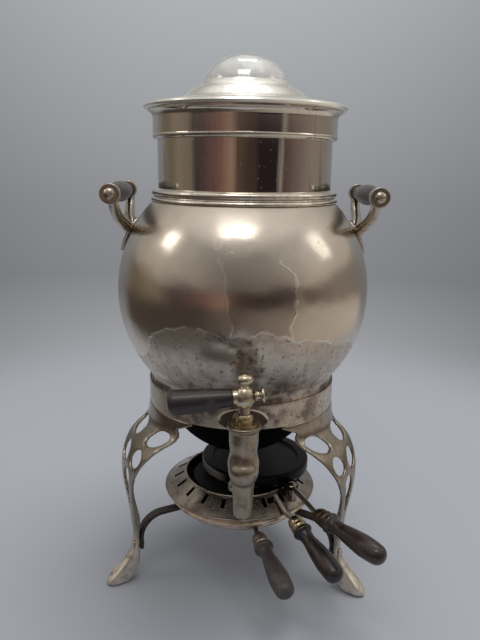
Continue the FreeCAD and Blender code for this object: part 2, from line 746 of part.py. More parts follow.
def side_grip():
    """Turned wooden grip between the bracket's eyes, fullest in the middle."""
    half = EYE_Y - EYE_LENGTH / 2 - SEAT
    bore = GRIP_ROD_RADIUS + SEAT
    neck_height = half * 0.72
    turned = lathe(
        (bore, -half),
        (GRIP_END_RADIUS, -half),
        (GRIP_END_RADIUS, -neck_height),
        ((GRIP_RADIUS, 0), (GRIP_END_RADIUS, neck_height)),
        (GRIP_END_RADIUS, half),
        (bore, half),
    )
    return lay(turned, V(GRIP_X, 0, GRIP_Z), V(GRIP_X, 1, GRIP_Z))


def side_grip_rod():
    """Rod through both eyes and the grip, peened over at the ends."""
    half = EYE_Y + EYE_LENGTH / 2
    head = GRIP_ROD_RADIUS * 1.6
    turned = lathe(
        (GRIP_ROD_RADIUS, -half),
        (GRIP_ROD_RADIUS, half),
        (head, half),
        dome((head, half), half + 1.6),
        (0, -half - 1.6),
        (dome((head, -half), -half - 1.6)[0], (head, -half)),
    )
    return lay(turned, V(GRIP_X, 0, GRIP_Z), V(GRIP_X, 1, GRIP_Z))


def tap_hole():
    return rod(V(0, 0, TAP_HEIGHT), V(0, -TAP_REACH, TAP_HEIGHT), THREAD_RADIUS + SEAT)


def tap_rosette():
    """Oval plate bent to the band round the tap's shank."""
    back = BAND_RADIUS + SEAT
    plate = tube(back + ROSETTE_THICK, back, TAP_HEIGHT - ROSETTE_HEIGHT, TAP_HEIGHT + ROSETTE_HEIGHT)
    shape = oval((0, TAP_HEIGHT), ROSETTE_WIDTH / 2, ROSETTE_HEIGHT / 2, 0).extrude(V(2 * BAND_RADIUS, 0, 0))
    return plate.common(about(shape, 0)).cut(tap_hole())


def tap_body():
    """Barrel and spout with the threaded shank that passes through the band."""
    top = BARREL_TOP - TAP_HEIGHT
    taper_foot = -BARREL_DROP - SPOUT_TAPER
    barrel = lathe(
        (0, top),
        (BARREL_RIM, top),
        ((BARREL_RIM + 0.4, top - 1.2), (BARREL_RIM, top - 2.4)),
        (BARREL_RADIUS, top - 3.4),
        (BARREL_RADIUS, -BARREL_DROP),
        ((BARREL_RADIUS * 0.9, -BARREL_DROP - SPOUT_TAPER * 3 / 7), (SPOUT_RADIUS * 1.15, taper_foot)),
        (SPOUT_RADIUS, -SPOUT_DROP),
        (0, -SPOUT_DROP),
    )
    barrel.translate(V(0, -TAP_REACH, TAP_HEIGHT))
    thread_start = nut_seat() - NUT_THICK - 1
    shoulder_start = BAND_RADIUS + 2 * SEAT + ROSETTE_THICK
    axis_end = V(0, -TAP_REACH, TAP_HEIGHT)
    body = barrel.fuse(rod(V(0, -thread_start, TAP_HEIGHT), axis_end, THREAD_RADIUS))
    body = body.fuse(rod(V(0, -shoulder_start, TAP_HEIGHT), axis_end, SHANK_RADIUS))
    elbow = Part.makeSphere(ELBOW_RADIUS, V(0, -TAP_REACH - ELBOW_OUT, TAP_HEIGHT - ELBOW_DROP))
    body = body.fuse(elbow)
    boss_height = TAP_HEIGHT - BARREL_DROP - 13
    boss = rod(V(0, -TAP_REACH, boss_height), V(-BARREL_RADIUS, -TAP_REACH, boss_height), 3.0)
    shoulder = tube(SHANK_RADIUS + 1.5, SHANK_RADIUS - 1, 0, 2)
    body = body.fuse(boss).fuse(lay(shoulder, V(0, -shoulder_start, TAP_HEIGHT), axis_end))
    seat = Part.makeCone(PLUG_FOOT_RADIUS + RUN, PLUG_TOP_RADIUS + RUN, top + PLUG_DROP,
                         V(0, -TAP_REACH, TAP_HEIGHT - PLUG_DROP))
    bore = rod(V(0, -TAP_REACH, SPOUT_END - 1), V(0, -TAP_REACH, TAP_HEIGHT), SPOUT_BORE)
    inlet = rod(V(0, 0, TAP_HEIGHT), V(0, -TAP_REACH, TAP_HEIGHT), SHANK_BORE)
    return body.cut(seat).cut(bore).cut(inlet).removeSplitter()


def nut_seat():
    """Distance from the axis at which the nut's corners meet the inside of the skirt."""
    return math.sqrt((SKIRT_RADIUS - SHEET) ** 2 - NUT_ACROSS ** 2 / 3) - SEAT


def tap_nut():
    """Hexagon nut that draws the shank tight inside the band."""
    corner = NUT_ACROSS / math.sqrt(3)
    turns = [math.radians(60 * step) for step in range(7)]
    ring = [V(corner * math.cos(turn), -nut_seat(), TAP_HEIGHT + corner * math.sin(turn)) for turn in turns]
    nut = Part.Face(Part.makePolygon(ring)).extrude(V(0, NUT_THICK, 0))
    return nut.cut(tap_hole())


def tap_bonnet():
    """Flanged cap over the plug, on the barrel's rim, with a small dome round the stem."""
    foot = BARREL_TOP
    flange = foot + BONNET_RISE * 0.2
    bonnet = lathe(
        (STEM_RADIUS + RUN, foot),
        (BONNET_FLANGE, foot),
        (BONNET_FLANGE, flange),
        (BONNET_DOME, flange),
        (BONNET_DOME, foot + BONNET_RISE * 0.5),
        ((BONNET_DOME * 0.93, foot + BONNET_RISE * 0.85), (STEM_RADIUS + 0.7, foot + BONNET_RISE)),
        (STEM_RADIUS + RUN, foot + BONNET_RISE),
    )
    return moved(bonnet, V(0, -TAP_REACH, 0))


def lever_point(distance):
    """Point on the lever's centre line, positive towards the grip."""
    droop = math.radians(LEVER_DROOP)
    return V(-distance * math.cos(droop), -TAP_REACH, HUB_HEIGHT - distance * math.sin(droop))


def lever_bore():
    return rod(lever_point(LEVER_GRIP_LENGTH), lever_point(-BUTTON_REACH), LEVER_ROD_RADIUS + SEAT)


def tap_plug():
    """Tapered plug with a side port leading to the spout, and its stem up through the bonnet."""
    foot = TAP_HEIGHT - PLUG_DROP + SLIDE
    top = BARREL_TOP - SLIDE
    stem_top = HUB_HEIGHT - HUB_RADIUS
    taper = (PLUG_TOP_RADIUS - PLUG_FOOT_RADIUS) / (BARREL_TOP - TAP_HEIGHT + PLUG_DROP)
    plug = lathe(
        (0, foot),
        (PLUG_FOOT_RADIUS + taper * SLIDE, foot),
        (PLUG_TOP_RADIUS - taper * SLIDE, top),
        (STEM_RADIUS, top),
        (STEM_RADIUS, stem_top),
        (0, stem_top),
    )
    port = Part.makeCylinder(SHANK_BORE * 0.9, PLUG_TOP_RADIUS * 2, V(0, 0, TAP_HEIGHT), V(1, 0, 0))
    drain = Part.makeCylinder(SHANK_BORE * 0.9, TAP_HEIGHT - foot + 1, V(0, 0, foot - 1))
    return moved(plug.cut(port.fuse(drain)), V(0, -TAP_REACH, 0))


def tap_hub():
    """Barrel-shaped key hub with a socket for the grip, bored through for the lever's rod."""
    foot = HUB_HEIGHT - HUB_RADIUS
    top = HUB_HEIGHT + HUB_RADIUS * 0.9
    hub = lathe(
        (0, foot),
        (STEM_RADIUS + 0.6, foot),
        ((HUB_RADIUS, HUB_HEIGHT), (STEM_RADIUS + 0.2, top)),
        (0, top),
    )
    socket = rod(lever_point(0), lever_point(HUB_RADIUS + 0.35), LEVER_GRIP_ROOT * 0.92)
    return moved(hub, V(0, -TAP_REACH, 0)).fuse(socket).cut(lever_bore()).removeSplitter()


def tap_finial():
    """Flattened ball finial on a waisted neck."""
    foot = HUB_HEIGHT + HUB_RADIUS * 0.9
    top = HUB_HEIGHT + FINIAL_RISE
    throat = STEM_RADIUS * 0.8
    ball_foot = foot + (top - foot) * 0.22
    brow = top - FINIAL_RADIUS * 0.14
    finial = lathe(
        (0, foot),
        (STEM_RADIUS, foot),
        ((throat * 0.9, (foot + ball_foot) / 2), (throat, ball_foot)),
        ((FINIAL_RADIUS, (ball_foot + brow) / 2), (FINIAL_RADIUS * 0.56, brow)),
        dome((FINIAL_RADIUS * 0.56, brow), top),
    )
    return moved(finial, V(0, -TAP_REACH, 0))


def tap_lever_rod():
    return rod(lever_point(LEVER_GRIP_LENGTH - 1), lever_point(-BUTTON_REACH + 2), LEVER_ROD_RADIUS)


def tap_lever_grip():
    """Dark wooden lever, swelling towards its blunt end."""
    length = LEVER_GRIP_LENGTH
    grip = lathe(
        (0, 0),
        (LEVER_GRIP_ROOT - 0.8, 0),
        (LEVER_GRIP_ROOT, 0.8),
        ((LEVER_GRIP_RADIUS * 0.91, length * 0.5), (LEVER_GRIP_RADIUS, length * 0.86)),
        ((LEVER_GRIP_RADIUS * 0.93, length * 0.93), (LEVER_GRIP_RADIUS * 0.72, length * 0.97)),
        dome((LEVER_GRIP_RADIUS * 0.72, length * 0.97), length),
    )
    return lay(grip, lever_point(HUB_RADIUS + 0.4), lever_point(HUB_RADIUS + 10)).cut(lever_bore())


def tap_lever_button():
    """Turned button on the short end of the lever's rod."""
    start = HUB_RADIUS + 0.3
    reach = BUTTON_REACH - start
    button = lathe(
        (0, 0),
        (LEVER_ROD_RADIUS + 1.5, 0),
        ((LEVER_ROD_RADIUS + 0.8, reach * 0.3), (BUTTON_RADIUS, reach * 0.62)),
        ((BUTTON_RADIUS + 0.3, reach * 0.75), (BUTTON_RADIUS - 0.6, reach * 0.92)),
        (0, reach),
    )
    bore = rod(lever_point(-start + 1), lever_point(-BUTTON_REACH + 2), LEVER_ROD_RADIUS + SEAT)
    return lay(button, lever_point(-start), lever_point(-start - 10)).cut(bore)


def cone_height(radius):
    """Height of the outer face of the burner's slotted cone at a radius."""
    return BURNER_RIM + CONE_RISE * (BURNER_RADIUS - radius) / (BURNER_RADIUS - BURNER_MOUTH)


def slots(inner, outer):
    """Radial cutters for the air slots, from inner to outer radius."""
    tall = CONE_TOP + SHEET - BURNER_SEAT
    cutter = Part.makeBox(outer - inner, SLOT_WIDTH, tall, V(inner, -SLOT_WIDTH / 2, BURNER_SEAT))
    step = 360.0 / SLOT_COUNT
    return Part.makeCompound([about(cutter, SLOT_TURN + step * index) for index in range(SLOT_COUNT)])


def burner_base():
    """Reservoir pan with a beaded shoulder that rests on the cradle's pads."""
    inside = RESERVOIR_RADIUS - SHEET
    wall_top = BURNER_RIM - SHEET
    wall_radius = BURNER_RADIUS - SHEET
    bead_middle = BURNER_SEAT + BEAD_SIZE
    return lathe(
        (0, BURNER_FLOOR),
        (RESERVOIR_RADIUS - 2, BURNER_FLOOR),
        ((RESERVOIR_RADIUS - 0.6, BURNER_FLOOR + 0.6), (RESERVOIR_RADIUS, BURNER_FLOOR + 2)),
        (RESERVOIR_RADIUS, BURNER_SEAT),
        (BEAD_RADIUS - BEAD_SIZE, BURNER_SEAT),
        ((BEAD_RADIUS, bead_middle), (BEAD_RADIUS - BEAD_SIZE * 0.5, BURNER_SEAT + 1.8 * BEAD_SIZE)),
        (wall_radius, wall_top),
        (wall_radius - SHEET, wall_top),
        (BEAD_RADIUS - BEAD_SIZE - SHEET, BURNER_SEAT + 1.8 * BEAD_SIZE),
        (BEAD_RADIUS - BEAD_SIZE - SHEET, BURNER_SEAT + SHEET),
        (inside, BURNER_SEAT + SHEET),
        (inside, BURNER_FLOOR + SHEET),
        (0, BURNER_FLOOR + SHEET),
    )


def burner_top():
    """Slotted cone with a rolled rim, a bead round the mouth and an arc slot for the shutter's rod."""
    rim = BURNER_RADIUS
    lip = BURNER_MOUTH
    foot = BURNER_RIM - SHEET
    under = rim - 2.2 * SHEET
    top = lathe(
        (under, foot),
        (rim - 0.4, foot),
        ((rim + 0.4, BURNER_RIM - 0.1), (rim - 0.5, cone_height(rim - 0.5))),
        (lip + 1.8, cone_height(lip + 1.8)),
        ((lip + 0.9, CONE_TOP + 0.2), (lip, CONE_TOP - 0.8)),
        (lip, CONE_TOP - CONE_SHEET),
        (lip + 1, cone_height(lip + 1) - CONE_SHEET),
        (under, cone_height(under) - CONE_SHEET),
    )
    window_inner = shutter_rod_radius() - LEVER_RADIUS - SLIDE
    window_outer = shutter_rod_radius() + LEVER_RADIUS + SLIDE
    margin = math.degrees((LEVER_RADIUS + 2 * SLIDE) / shutter_rod_radius())
    window = outline(
        (window_inner, BURNER_SEAT),
        (window_outer, BURNER_SEAT),
        (window_outer, CONE_TOP + SHEET),
        (window_inner, CONE_TOP + SHEET),
    ).revolve(ORIGIN, UP, SHUTTER_CLOSE + 2 * margin)
    window = about(window, SHUTTER_ROD_AZIMUTH - SHUTTER_CLOSE - margin)
    return top.cut(slots(SLOT_INNER, SLOT_OUTER)).cut(window)


def burner_cup():
    """Wick cup on the reservoir's floor, with the flange that carries the air shutter."""
    foot = BURNER_FLOOR + SHEET
    edge = BURNER_RADIUS - 3.6 * SHEET
    return lathe(
        (0, foot),
        (CUP_RADIUS, foot),
        (CUP_RADIUS, CUP_FLANGE - SHEET),
        (edge, CUP_FLANGE - SHEET),
        (edge, CUP_FLANGE),
        (CUP_RADIUS, CUP_FLANGE),
        (CUP_RADIUS, CUP_TOP),
        (CUP_RADIUS - SHEET, CUP_TOP),
        (CUP_RADIUS - SHEET, foot + SHEET),
        (0, foot + SHEET),
    )


def wick_packing():
    foot = BURNER_FLOOR + 2 * SHEET
    return Part.makeCylinder(CUP_RADIUS - SHEET - PACKING_GAP, CUP_TOP - GAUZE_THICK - foot, V(0, 0, foot))


def wick_gauze():
    return Part.makeCylinder(CUP_RADIUS - SHEET - PACKING_GAP, GAUZE_THICK, V(0, 0, CUP_TOP - GAUZE_THICK))


def shutter_rod_radius():
    return (SLOT_INNER + SLOT_OUTER) / 2


def shutter_rod_points():
    """Foot of the shutter's rod in its ring, its bend over the cone and its bend over the rim."""
    azimuth = SHUTTER_ROD_AZIMUTH
    reach = shutter_rod_radius()
    clear = BURNER_RADIUS + 2.4
    foot = polar(azimuth, reach, cone_height(reach) - CONE_SHEET - SHUTTER_GAP - SHEET)
    bend = polar(azimuth, reach, cone_height(reach) + LEVER_RADIUS + 1.2)
    over = polar(azimuth, clear, cone_height(clear) + LEVER_RADIUS + 1.6)
    return [foot, bend, over]


def air_shutter():
    """Slotted ring under the cone that turns to open or close its air slots."""
    drop = CONE_SHEET + SHUTTER_GAP
    inner = BURNER_MOUTH + 1.6
    outer = SHUTTER_FOOT
    foot = CUP_FLANGE + RUN
    ring = lathe(
        (inner, cone_height(inner) - drop - SHEET),
        (inner, cone_height(inner) - drop),
        (outer, cone_height(outer) - drop),
        (outer, foot),
        (outer - SHEET, foot),
        (outer - SHEET, cone_height(outer) - drop - SHEET),
    )
    peg = rod(shutter_rod_points()[0], shutter_rod_points()[1], LEVER_RADIUS + SEAT)
    return ring.cut(slots(SLOT_INNER, SLOT_OUTER - 1)).cut(peg)


def ferrule():
    """Metal ferrule up the Z axis, with a bead at its mouth."""
    length = FERRULE_LENGTH
    return lathe(
        (0, 0),
        (FERRULE_RADIUS * 0.75, 0),
        ((FERRULE_RADIUS * 0.95, length * 0.2), (FERRULE_RADIUS, length * 0.6)),
        ((FERRULE_RADIUS * 1.12, length * 0.8), (FERRULE_RADIUS, length)),
        (0, length),
    )


def turned_handle(length):
    """Turned wooden handle up the Z axis, from its seat in the ferrule to its rounded end."""
    return lathe(
        (0, 0),
        (FERRULE_RADIUS, 0),
        ((FERRULE_RADIUS * 1.3, length * 0.05), (FERRULE_RADIUS, length * 0.1)),
        ((HANDLE_WAIST, length * 0.18), (HANDLE_WAIST * 1.12, length * 0.3)),
        ((HANDLE_RADIUS * 0.9, length * 0.58), (HANDLE_RADIUS, length - HANDLE_RADIUS)),
        dome((HANDLE_RADIUS, length - HANDLE_RADIUS), length),
    )


def burner_point(azimuth, out, rise):
    """Point at an azimuth, out from the burner's rim and up from its seat."""
    return polar(azimuth, BURNER_RADIUS + out, BURNER_SEAT + rise)


def lever_set(name, start, tip, rod_points):
    """Rod, ferrule and grip of one burner handle."""
    along = tip - start
    mouth = start + along * (FERRULE_LENGTH / along.Length)
    tang = start + along * (FERRULE_LENGTH * 0.6 / along.Length)
    socket = bent_rod(rod_points + [start, tang], LEVER_RADIUS + SEAT)
    return {
        name + "_rod": bent_rod(rod_points + [start, tang], LEVER_RADIUS),
        name + "_ferrule": lay(ferrule(), start, tip).cut(socket),
        name + "_grip": lay(turned_handle((tip - mouth).Length), mouth, tip),
    }


def carry_handle():
    root = polar(CARRY_ROOT_AZIMUTH, RESERVOIR_RADIUS + SEAT + LEVER_RADIUS * 0.1, BURNER_FLOOR + 2.2)
    start = burner_point(CARRY_ROOT_AZIMUTH, CARRY_ROOT_OUT, CARRY_ROOT_RISE)
    tip = burner_point(CARRY_END_AZIMUTH, CARRY_END_OUT, CARRY_END_RISE)
    return lever_set("carry", start, tip, [root])


def shutter_handle():
    start = burner_point(SHUTTER_ROOT_AZIMUTH, SHUTTER_ROOT_OUT, SHUTTER_ROOT_RISE)
    tip = burner_point(SHUTTER_END_AZIMUTH, SHUTTER_END_OUT, SHUTTER_END_RISE)
    return lever_set("shutter", start, tip, shutter_rod_points())


def pivot(height):
    return polar(PIVOT_AZIMUTH, PIVOT_DISTANCE, height)


def snuffer_centre(height):
    """Cap's centre as it stands: swung off the burner's axis about the pivot."""
    swing = FreeCAD.Rotation(UP, -SNUFFER_SWING)
    return pivot(height) + swing.multVec(-pivot(0))


def snuffer_cap():
    """Dished extinguisher cap with an ear that turns on the post."""
    wall = SNUFFER_RADIUS - SHEET
    recess = SNUFFER_RADIUS * 0.78
    height = SNUFFER_HEIGHT
    cap = lathe(
        (SNUFFER_RADIUS, 0),
        (SNUFFER_RADIUS, height - 2),
        ((SNUFFER_RADIUS - 0.6, height - 0.6), (SNUFFER_RADIUS - 2, height)),
        (recess + 1, height),
        (recess, height - SNUFFER_RECESS),
        (0, height - SNUFFER_RECESS),
        (0, height - SNUFFER_RECESS - SHEET),
        (recess + 0.6, height - SNUFFER_RECESS - SHEET),
        (recess + 1.6, height - SHEET),
        (wall, height - SHEET - 1),
        (wall, 0),
    )
    cap.translate(snuffer_centre(SNUFFER_FOOT))
    hub = pivot(EAR_FOOT)
    inward = snuffer_centre(EAR_FOOT) - hub
    inward.normalize()
    ear = Part.makeCylinder(EAR_RADIUS, EAR_THICK, hub)
    web = Part.makeBox(PIVOT_OUT + SHEET * 0.5, 2 * EAR_RADIUS, EAR_THICK, V(0, -EAR_RADIUS, 0))
    web.Placement = FreeCAD.Placement(hub, FreeCAD.Rotation(V(1, 0, 0), inward))
    ear = ear.fuse(web).cut(Part.makeCylinder(wall, SNUFFER_HEIGHT, snuffer_centre(SNUFFER_FOOT)))
    cap = cap.fuse(ear)
    bore = Part.makeCylinder(PIVOT_RADIUS + RUN, 3 * EAR_THICK, pivot(EAR_FOOT - EAR_THICK))
    return cap.cut(bore).removeSplitter()


def snuffer_post():
    """Shouldered post soldered on the burner's cone, with the pin the snuffer's ear turns on."""
    ear_top = EAR_FOOT + EAR_THICK + SLIDE
    post = lathe(
        (0, BURNER_RIM),
        (POST_RADIUS, BURNER_RIM),
        (POST_RADIUS, EAR_FOOT - SLIDE),
        (PIVOT_RADIUS, EAR_FOOT - SLIDE),
        (PIVOT_RADIUS, ear_top),
        (POST_RADIUS, ear_top),
        dome((POST_RADIUS, ear_top), ear_top + 1.7),
    )
    cone = lathe(
        (0, BURNER_SEAT),
        (BURNER_RADIUS, BURNER_SEAT),
        (BURNER_RADIUS, BURNER_RIM + SEAT),
        (BURNER_MOUTH, CONE_TOP + SEAT),
        (0, CONE_TOP + SEAT),
    )
    return moved(post, pivot(0)).cut(cone)


def snuffer_handle():
    start = burner_point(SNUFFER_ROOT_AZIMUTH, SNUFFER_ROOT_OUT, SNUFFER_ROOT_RISE)
    tip = burner_point(SNUFFER_END_AZIMUTH, SNUFFER_END_OUT, SNUFFER_END_RISE)
    hub = pivot(EAR_FOOT + EAR_THICK / 2)
    out = start - hub
    root = hub + out * ((EAR_RADIUS + SEAT) / out.Length)
    return lever_set("snuffer", start, tip, [root])


def lid_flange(radius):
    """Height of the lid's flat flange at a radius, outside."""
    edge = LID_RADIUS - LID_EDGE / 2
    return LID_EDGE_TOP + LID_FLANGE_RISE * (edge - radius) / (edge - LID_FLANGE_RADIUS)


def lid_shell():
    """Spun lid: rolled edge, flat flange, step up to the crown and the sleeve that holds the glass."""
    edge = LID_RADIUS - LID_EDGE / 2
    sleeve = DOME_RADIUS + SEAT
    step_out = LID_FLANGE_RADIUS - LID_STEP_RADIUS
    rise = LID_STEP_RISE

    def step(drop):
        low = (LID_FLANGE_RADIUS - drop * 0.6, LID_FLANGE_TOP - drop)
        turn = (LID_STEP_RADIUS + step_out * 0.6 - drop * 0.8, LID_FLANGE_TOP + rise * 0.28 - drop * 0.6)
        middle = (LID_STEP_RADIUS + step_out * 0.42 - drop * 0.9, LID_FLANGE_TOP + rise * 0.62 - drop * 0.45)
        brow = (LID_STEP_RADIUS + step_out * 0.24 - drop * 0.9, LID_FLANGE_TOP + rise * 0.86 - drop * 0.6)
        high = (LID_STEP_RADIUS - drop * 0.5, LID_STEP_TOP - drop)
        return low, turn, middle, brow, high

    low, turn, middle, brow, high = step(0)
    under_low, under_turn, under_middle, under_brow, under_high = step(SHEET)
    return lathe(
        (edge - 2, LID_FOOT),
        (edge, LID_FOOT),
        ((LID_RADIUS, LID_FOOT + LID_EDGE / 2), (edge, LID_EDGE_TOP)),
        low,
        (turn, middle),
        (brow, high),
        (sleeve + SHEET, LID_TOP - 0.4),
        (sleeve, LID_TOP),
        (sleeve, SLEEVE_FOOT),
        (sleeve + SHEET, SLEEVE_FOOT),
        (sleeve + SHEET, LID_TOP - 2 * SHEET),
        under_high,
        (under_brow, under_middle),
        (under_turn, under_low),
        (edge - 2, lid_flange(edge - 2) - SHEET),
    )


def lid_skirt():
    """Plain ring soldered under the lid that drops into the mouth of the neck."""
    outside = MOUTH_RADIUS - SHEET - LIFT_GAP
    inside = outside - SHEET
    return lathe(
        (inside, MOUTH_TOP - LID_SKIRT),
        (outside, MOUTH_TOP - LID_SKIRT),
        (outside, lid_flange(outside) - SHEET - SEAT),
        (inside, lid_flange(inside) - SHEET - SEAT),
    )


def lid_glass():
    """Clear percolator dome standing in the lid's sleeve."""
    foot = SLEEVE_FOOT + RETAINER_THICK
    shoulder = LID_TOP + DOME_RISE * 0.65
    inner = DOME_SHOULDER - DOME_WALL * 0.75
    inner_shoulder = shoulder - DOME_WALL * 0.6
    return lathe(
        (DOME_RADIUS - DOME_WALL, foot),
        (DOME_RADIUS, foot),
        (DOME_RADIUS, LID_TOP + SEAT),
        ((DOME_RADIUS - 2.1, LID_TOP + DOME_RISE * 0.3), (DOME_SHOULDER, shoulder)),
        dome((DOME_SHOULDER, shoulder), DOME_TOP),
        (0, DOME_TOP - DOME_WALL),
        (dome((inner, inner_shoulder), DOME_TOP - DOME_WALL)[0], (inner, inner_shoulder)),
        ((DOME_RADIUS - 2.1 - DOME_WALL, LID_TOP + DOME_RISE * 0.25), (DOME_RADIUS - DOME_WALL, LID_TOP)),
    )


def lid_retainer():
    """Spring ring in the foot of the sleeve, under the glass."""
    hole = DOME_RADIUS - DOME_WALL - RETAINER_LAP
    return tube(DOME_RADIUS, hole, SLEEVE_FOOT, SLEEVE_FOOT + RETAINER_THICK)


def pump_tube():
    return tube(PUMP_RADIUS, PUMP_RADIUS - PUMP_WALL, pump_foot_height() + PUMP_FOOT_RISE, PUMP_TOP)


def pump_foot_height():
    """Height at which the pump's bell foot stands in the heating bowl."""
    sphere = (BOWL_RADIUS ** 2 + BOWL_DEPTH ** 2) / (2 * BOWL_DEPTH)
    centre = BAND_BOTTOM - BOWL_DEPTH + sphere
    return centre - math.sqrt((sphere - SHEET) ** 2 - PUMP_FOOT_RADIUS ** 2) + SEAT


def pump_foot():
    """Bell under the pump tube that catches steam in the heating bowl."""
    foot = pump_foot_height()
    top = foot + PUMP_FOOT_RISE
    crown = PUMP_RADIUS + 3
    waist = PUMP_FOOT_RADIUS * 0.72
    swell = foot + PUMP_FOOT_RISE * 0.62
    return lathe(
        (PUMP_FOOT_RADIUS - SHEET, foot),
        (PUMP_FOOT_RADIUS, foot),
        ((waist, swell), (crown, top)),
        (PUMP_RADIUS - PUMP_WALL, top),
        (PUMP_RADIUS - PUMP_WALL, top - SHEET),
        (crown - SHEET, top - SHEET),
        ((waist - SHEET, swell - SHEET), (PUMP_FOOT_RADIUS - SHEET, foot)),
    )


def strainer_holes(foot):
    cutters = []
    for radius, count in zip(HOLE_RING_RADII, HOLE_RING_COUNTS):
        for index in range(count):
            start = polar(360.0 * index / count, radius, foot - SHEET)
            cutters.append(Part.makeCylinder(HOLE_RADIUS, 3 * SHEET, start))
    return Part.makeCompound(cutters)


def basket_collet():
    """Collar fixed on the pump tube that carries the basket."""
    return tube(COLLET_RADIUS, PUMP_RADIUS + SEAT, BASKET_FLOOR - COLLET_HEIGHT, BASKET_FLOOR)


def coffee_basket():
    """Pierced basket round the pump tube, with a rolled rim."""
    inner = BASKET_RADIUS - SHEET
    eye = PUMP_RADIUS + SLIDE
    basket = lathe(
        (eye, BASKET_FLOOR),
        (BASKET_RADIUS - 3, BASKET_FLOOR),
        ((BASKET_RADIUS - 0.9, BASKET_FLOOR + 0.9), (BASKET_RADIUS, BASKET_FLOOR + 3)),
        (BASKET_RADIUS, BASKET_TOP - 1.2),
        ((BASKET_RADIUS + 1, BASKET_TOP - 0.6), (BASKET_RADIUS, BASKET_TOP)),
        (inner, BASKET_TOP),
        (inner, BASKET_FLOOR + 3),
        ((BASKET_RADIUS - 1.6, BASKET_FLOOR + 1.6), (BASKET_RADIUS - 3, BASKET_FLOOR + SHEET)),
        (eye, BASKET_FLOOR + SHEET),
    )
    return basket.cut(strainer_holes(BASKET_FLOOR))


def basket_cover():
    """Pierced spreader on the basket's rim."""
    eye = PUMP_RADIUS + SLIDE
    foot = BASKET_TOP
    cover = lathe(
        (eye, foot + BASKET_COVER_RISE),
        (BASKET_RADIUS - 8, foot + BASKET_COVER_RISE - 1),
        (BASKET_RADIUS - 5, foot),
        (BASKET_RADIUS, foot),
        (BASKET_RADIUS, foot + SHEET),
        (BASKET_RADIUS - 4.4, foot + SHEET),
        (BASKET_RADIUS - 7.4, foot + BASKET_COVER_RISE - 1 + SHEET),
        (eye, foot + BASKET_COVER_RISE + SHEET),
    )
    return cover.cut(strainer_holes(foot + BASKET_COVER_RISE))


def mirrored(shape):
    return shape.mirror(ORIGIN, V(1, 0, 0))


def sub_parts():
    parts = {
        "globe": globe(),
        "neck": neck(),
        "neck_collar": neck_collar(),
        "base_band": base_band(),
        "heating_bowl": heating_bowl(),
        "leg_rivets": leg_rivets(),
        "cradle_rivets": Part.makeCompound([about(arm_rivet(), azimuth) for azimuth in LEG_AZIMUTHS]),
        "tap_rosette": tap_rosette(),
        "tap_body": tap_body(),
        "tap_nut": tap_nut(),
        "tap_bonnet": tap_bonnet(),
        "tap_plug": tap_plug(),
        "tap_hub": tap_hub(),
        "tap_finial": tap_finial(),
        "tap_lever_rod": tap_lever_rod(),
        "tap_lever_grip": tap_lever_grip(),
        "tap_lever_button": tap_lever_button(),
        "burner_base": burner_base(),
        "burner_top": burner_top(),
        "burner_cup": burner_cup(),
        "wick_packing": wick_packing(),
        "wick_gauze": wick_gauze(),
        "air_shutter": air_shutter(),
        "snuffer_cap": snuffer_cap(),
        "snuffer_post": snuffer_post(),
        "lid_shell": lid_shell(),
        "lid_skirt": lid_skirt(),
        "lid_glass": lid_glass(),
        "lid_retainer": lid_retainer(),
        "pump_tube": pump_tube(),
        "pump_foot": pump_foot(),
        "basket_collet": basket_collet(),
        "coffee_basket": coffee_basket(),
        "basket_cover": basket_cover(),
    }
    parts.update(legs())
    for name, azimuth in zip(LEG_NAMES, LEG_AZIMUTHS):
        parts["cradle_arm_" + name] = about(cradle_arm(), azimuth)
    for name, make in (("bracket", side_bracket), ("grip", side_grip), ("grip_rod", side_grip_rod)):
        piece = make()
        parts["side_" + name + "_right"] = piece
        parts["side_" + name + "_left"] = mirrored(piece)
    parts.update(carry_handle())
    parts.update(shutter_handle())
    parts.update(snuffer_handle())
    return parts


os.makedirs("parts", exist_ok=True)
for node, shape in sub_parts().items():
    shape.exportStep("parts/" + node + ".step")
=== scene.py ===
import json
import math

import bpy
from mathutils import Matrix, Vector


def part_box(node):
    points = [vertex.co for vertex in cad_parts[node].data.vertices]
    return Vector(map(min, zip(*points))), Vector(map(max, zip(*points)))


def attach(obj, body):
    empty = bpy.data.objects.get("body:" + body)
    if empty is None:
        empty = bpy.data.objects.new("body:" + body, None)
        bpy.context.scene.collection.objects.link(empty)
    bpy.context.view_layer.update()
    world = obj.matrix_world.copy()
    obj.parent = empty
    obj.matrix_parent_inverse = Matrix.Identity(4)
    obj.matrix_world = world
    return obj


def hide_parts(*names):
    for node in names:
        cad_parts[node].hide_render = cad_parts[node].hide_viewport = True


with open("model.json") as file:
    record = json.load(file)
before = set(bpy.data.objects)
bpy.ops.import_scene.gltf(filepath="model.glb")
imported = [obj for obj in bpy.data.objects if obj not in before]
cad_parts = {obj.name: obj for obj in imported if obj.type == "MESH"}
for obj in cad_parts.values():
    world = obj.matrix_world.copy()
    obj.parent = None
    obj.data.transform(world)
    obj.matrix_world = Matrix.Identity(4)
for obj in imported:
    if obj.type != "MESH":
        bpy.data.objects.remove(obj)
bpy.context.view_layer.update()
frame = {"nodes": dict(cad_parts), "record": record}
nodes = frame["nodes"]
scene = bpy.context.scene
body_of = {
    node: body for body, members in frame["record"]["behaviour"]["bodies"].items() for node in members
}
slot_of = {sub_part["node"]: sub_part["material_slot"] for sub_part in frame["record"]["subparts"]}

# The photograph's camera, in the part's frame
CAMERA_PLACE = Vector((-0.00142, -0.41505, 0.27825))
CAMERA_SWING = math.radians(-1.1)
CAMERA_PITCH = math.radians(13.947)
CAMERA_ROLL = math.radians(0.896)
CAMERA_LENS = 35.08
CAMERA_SENSOR = 36.0
CAMERA_NEAR = 0.01

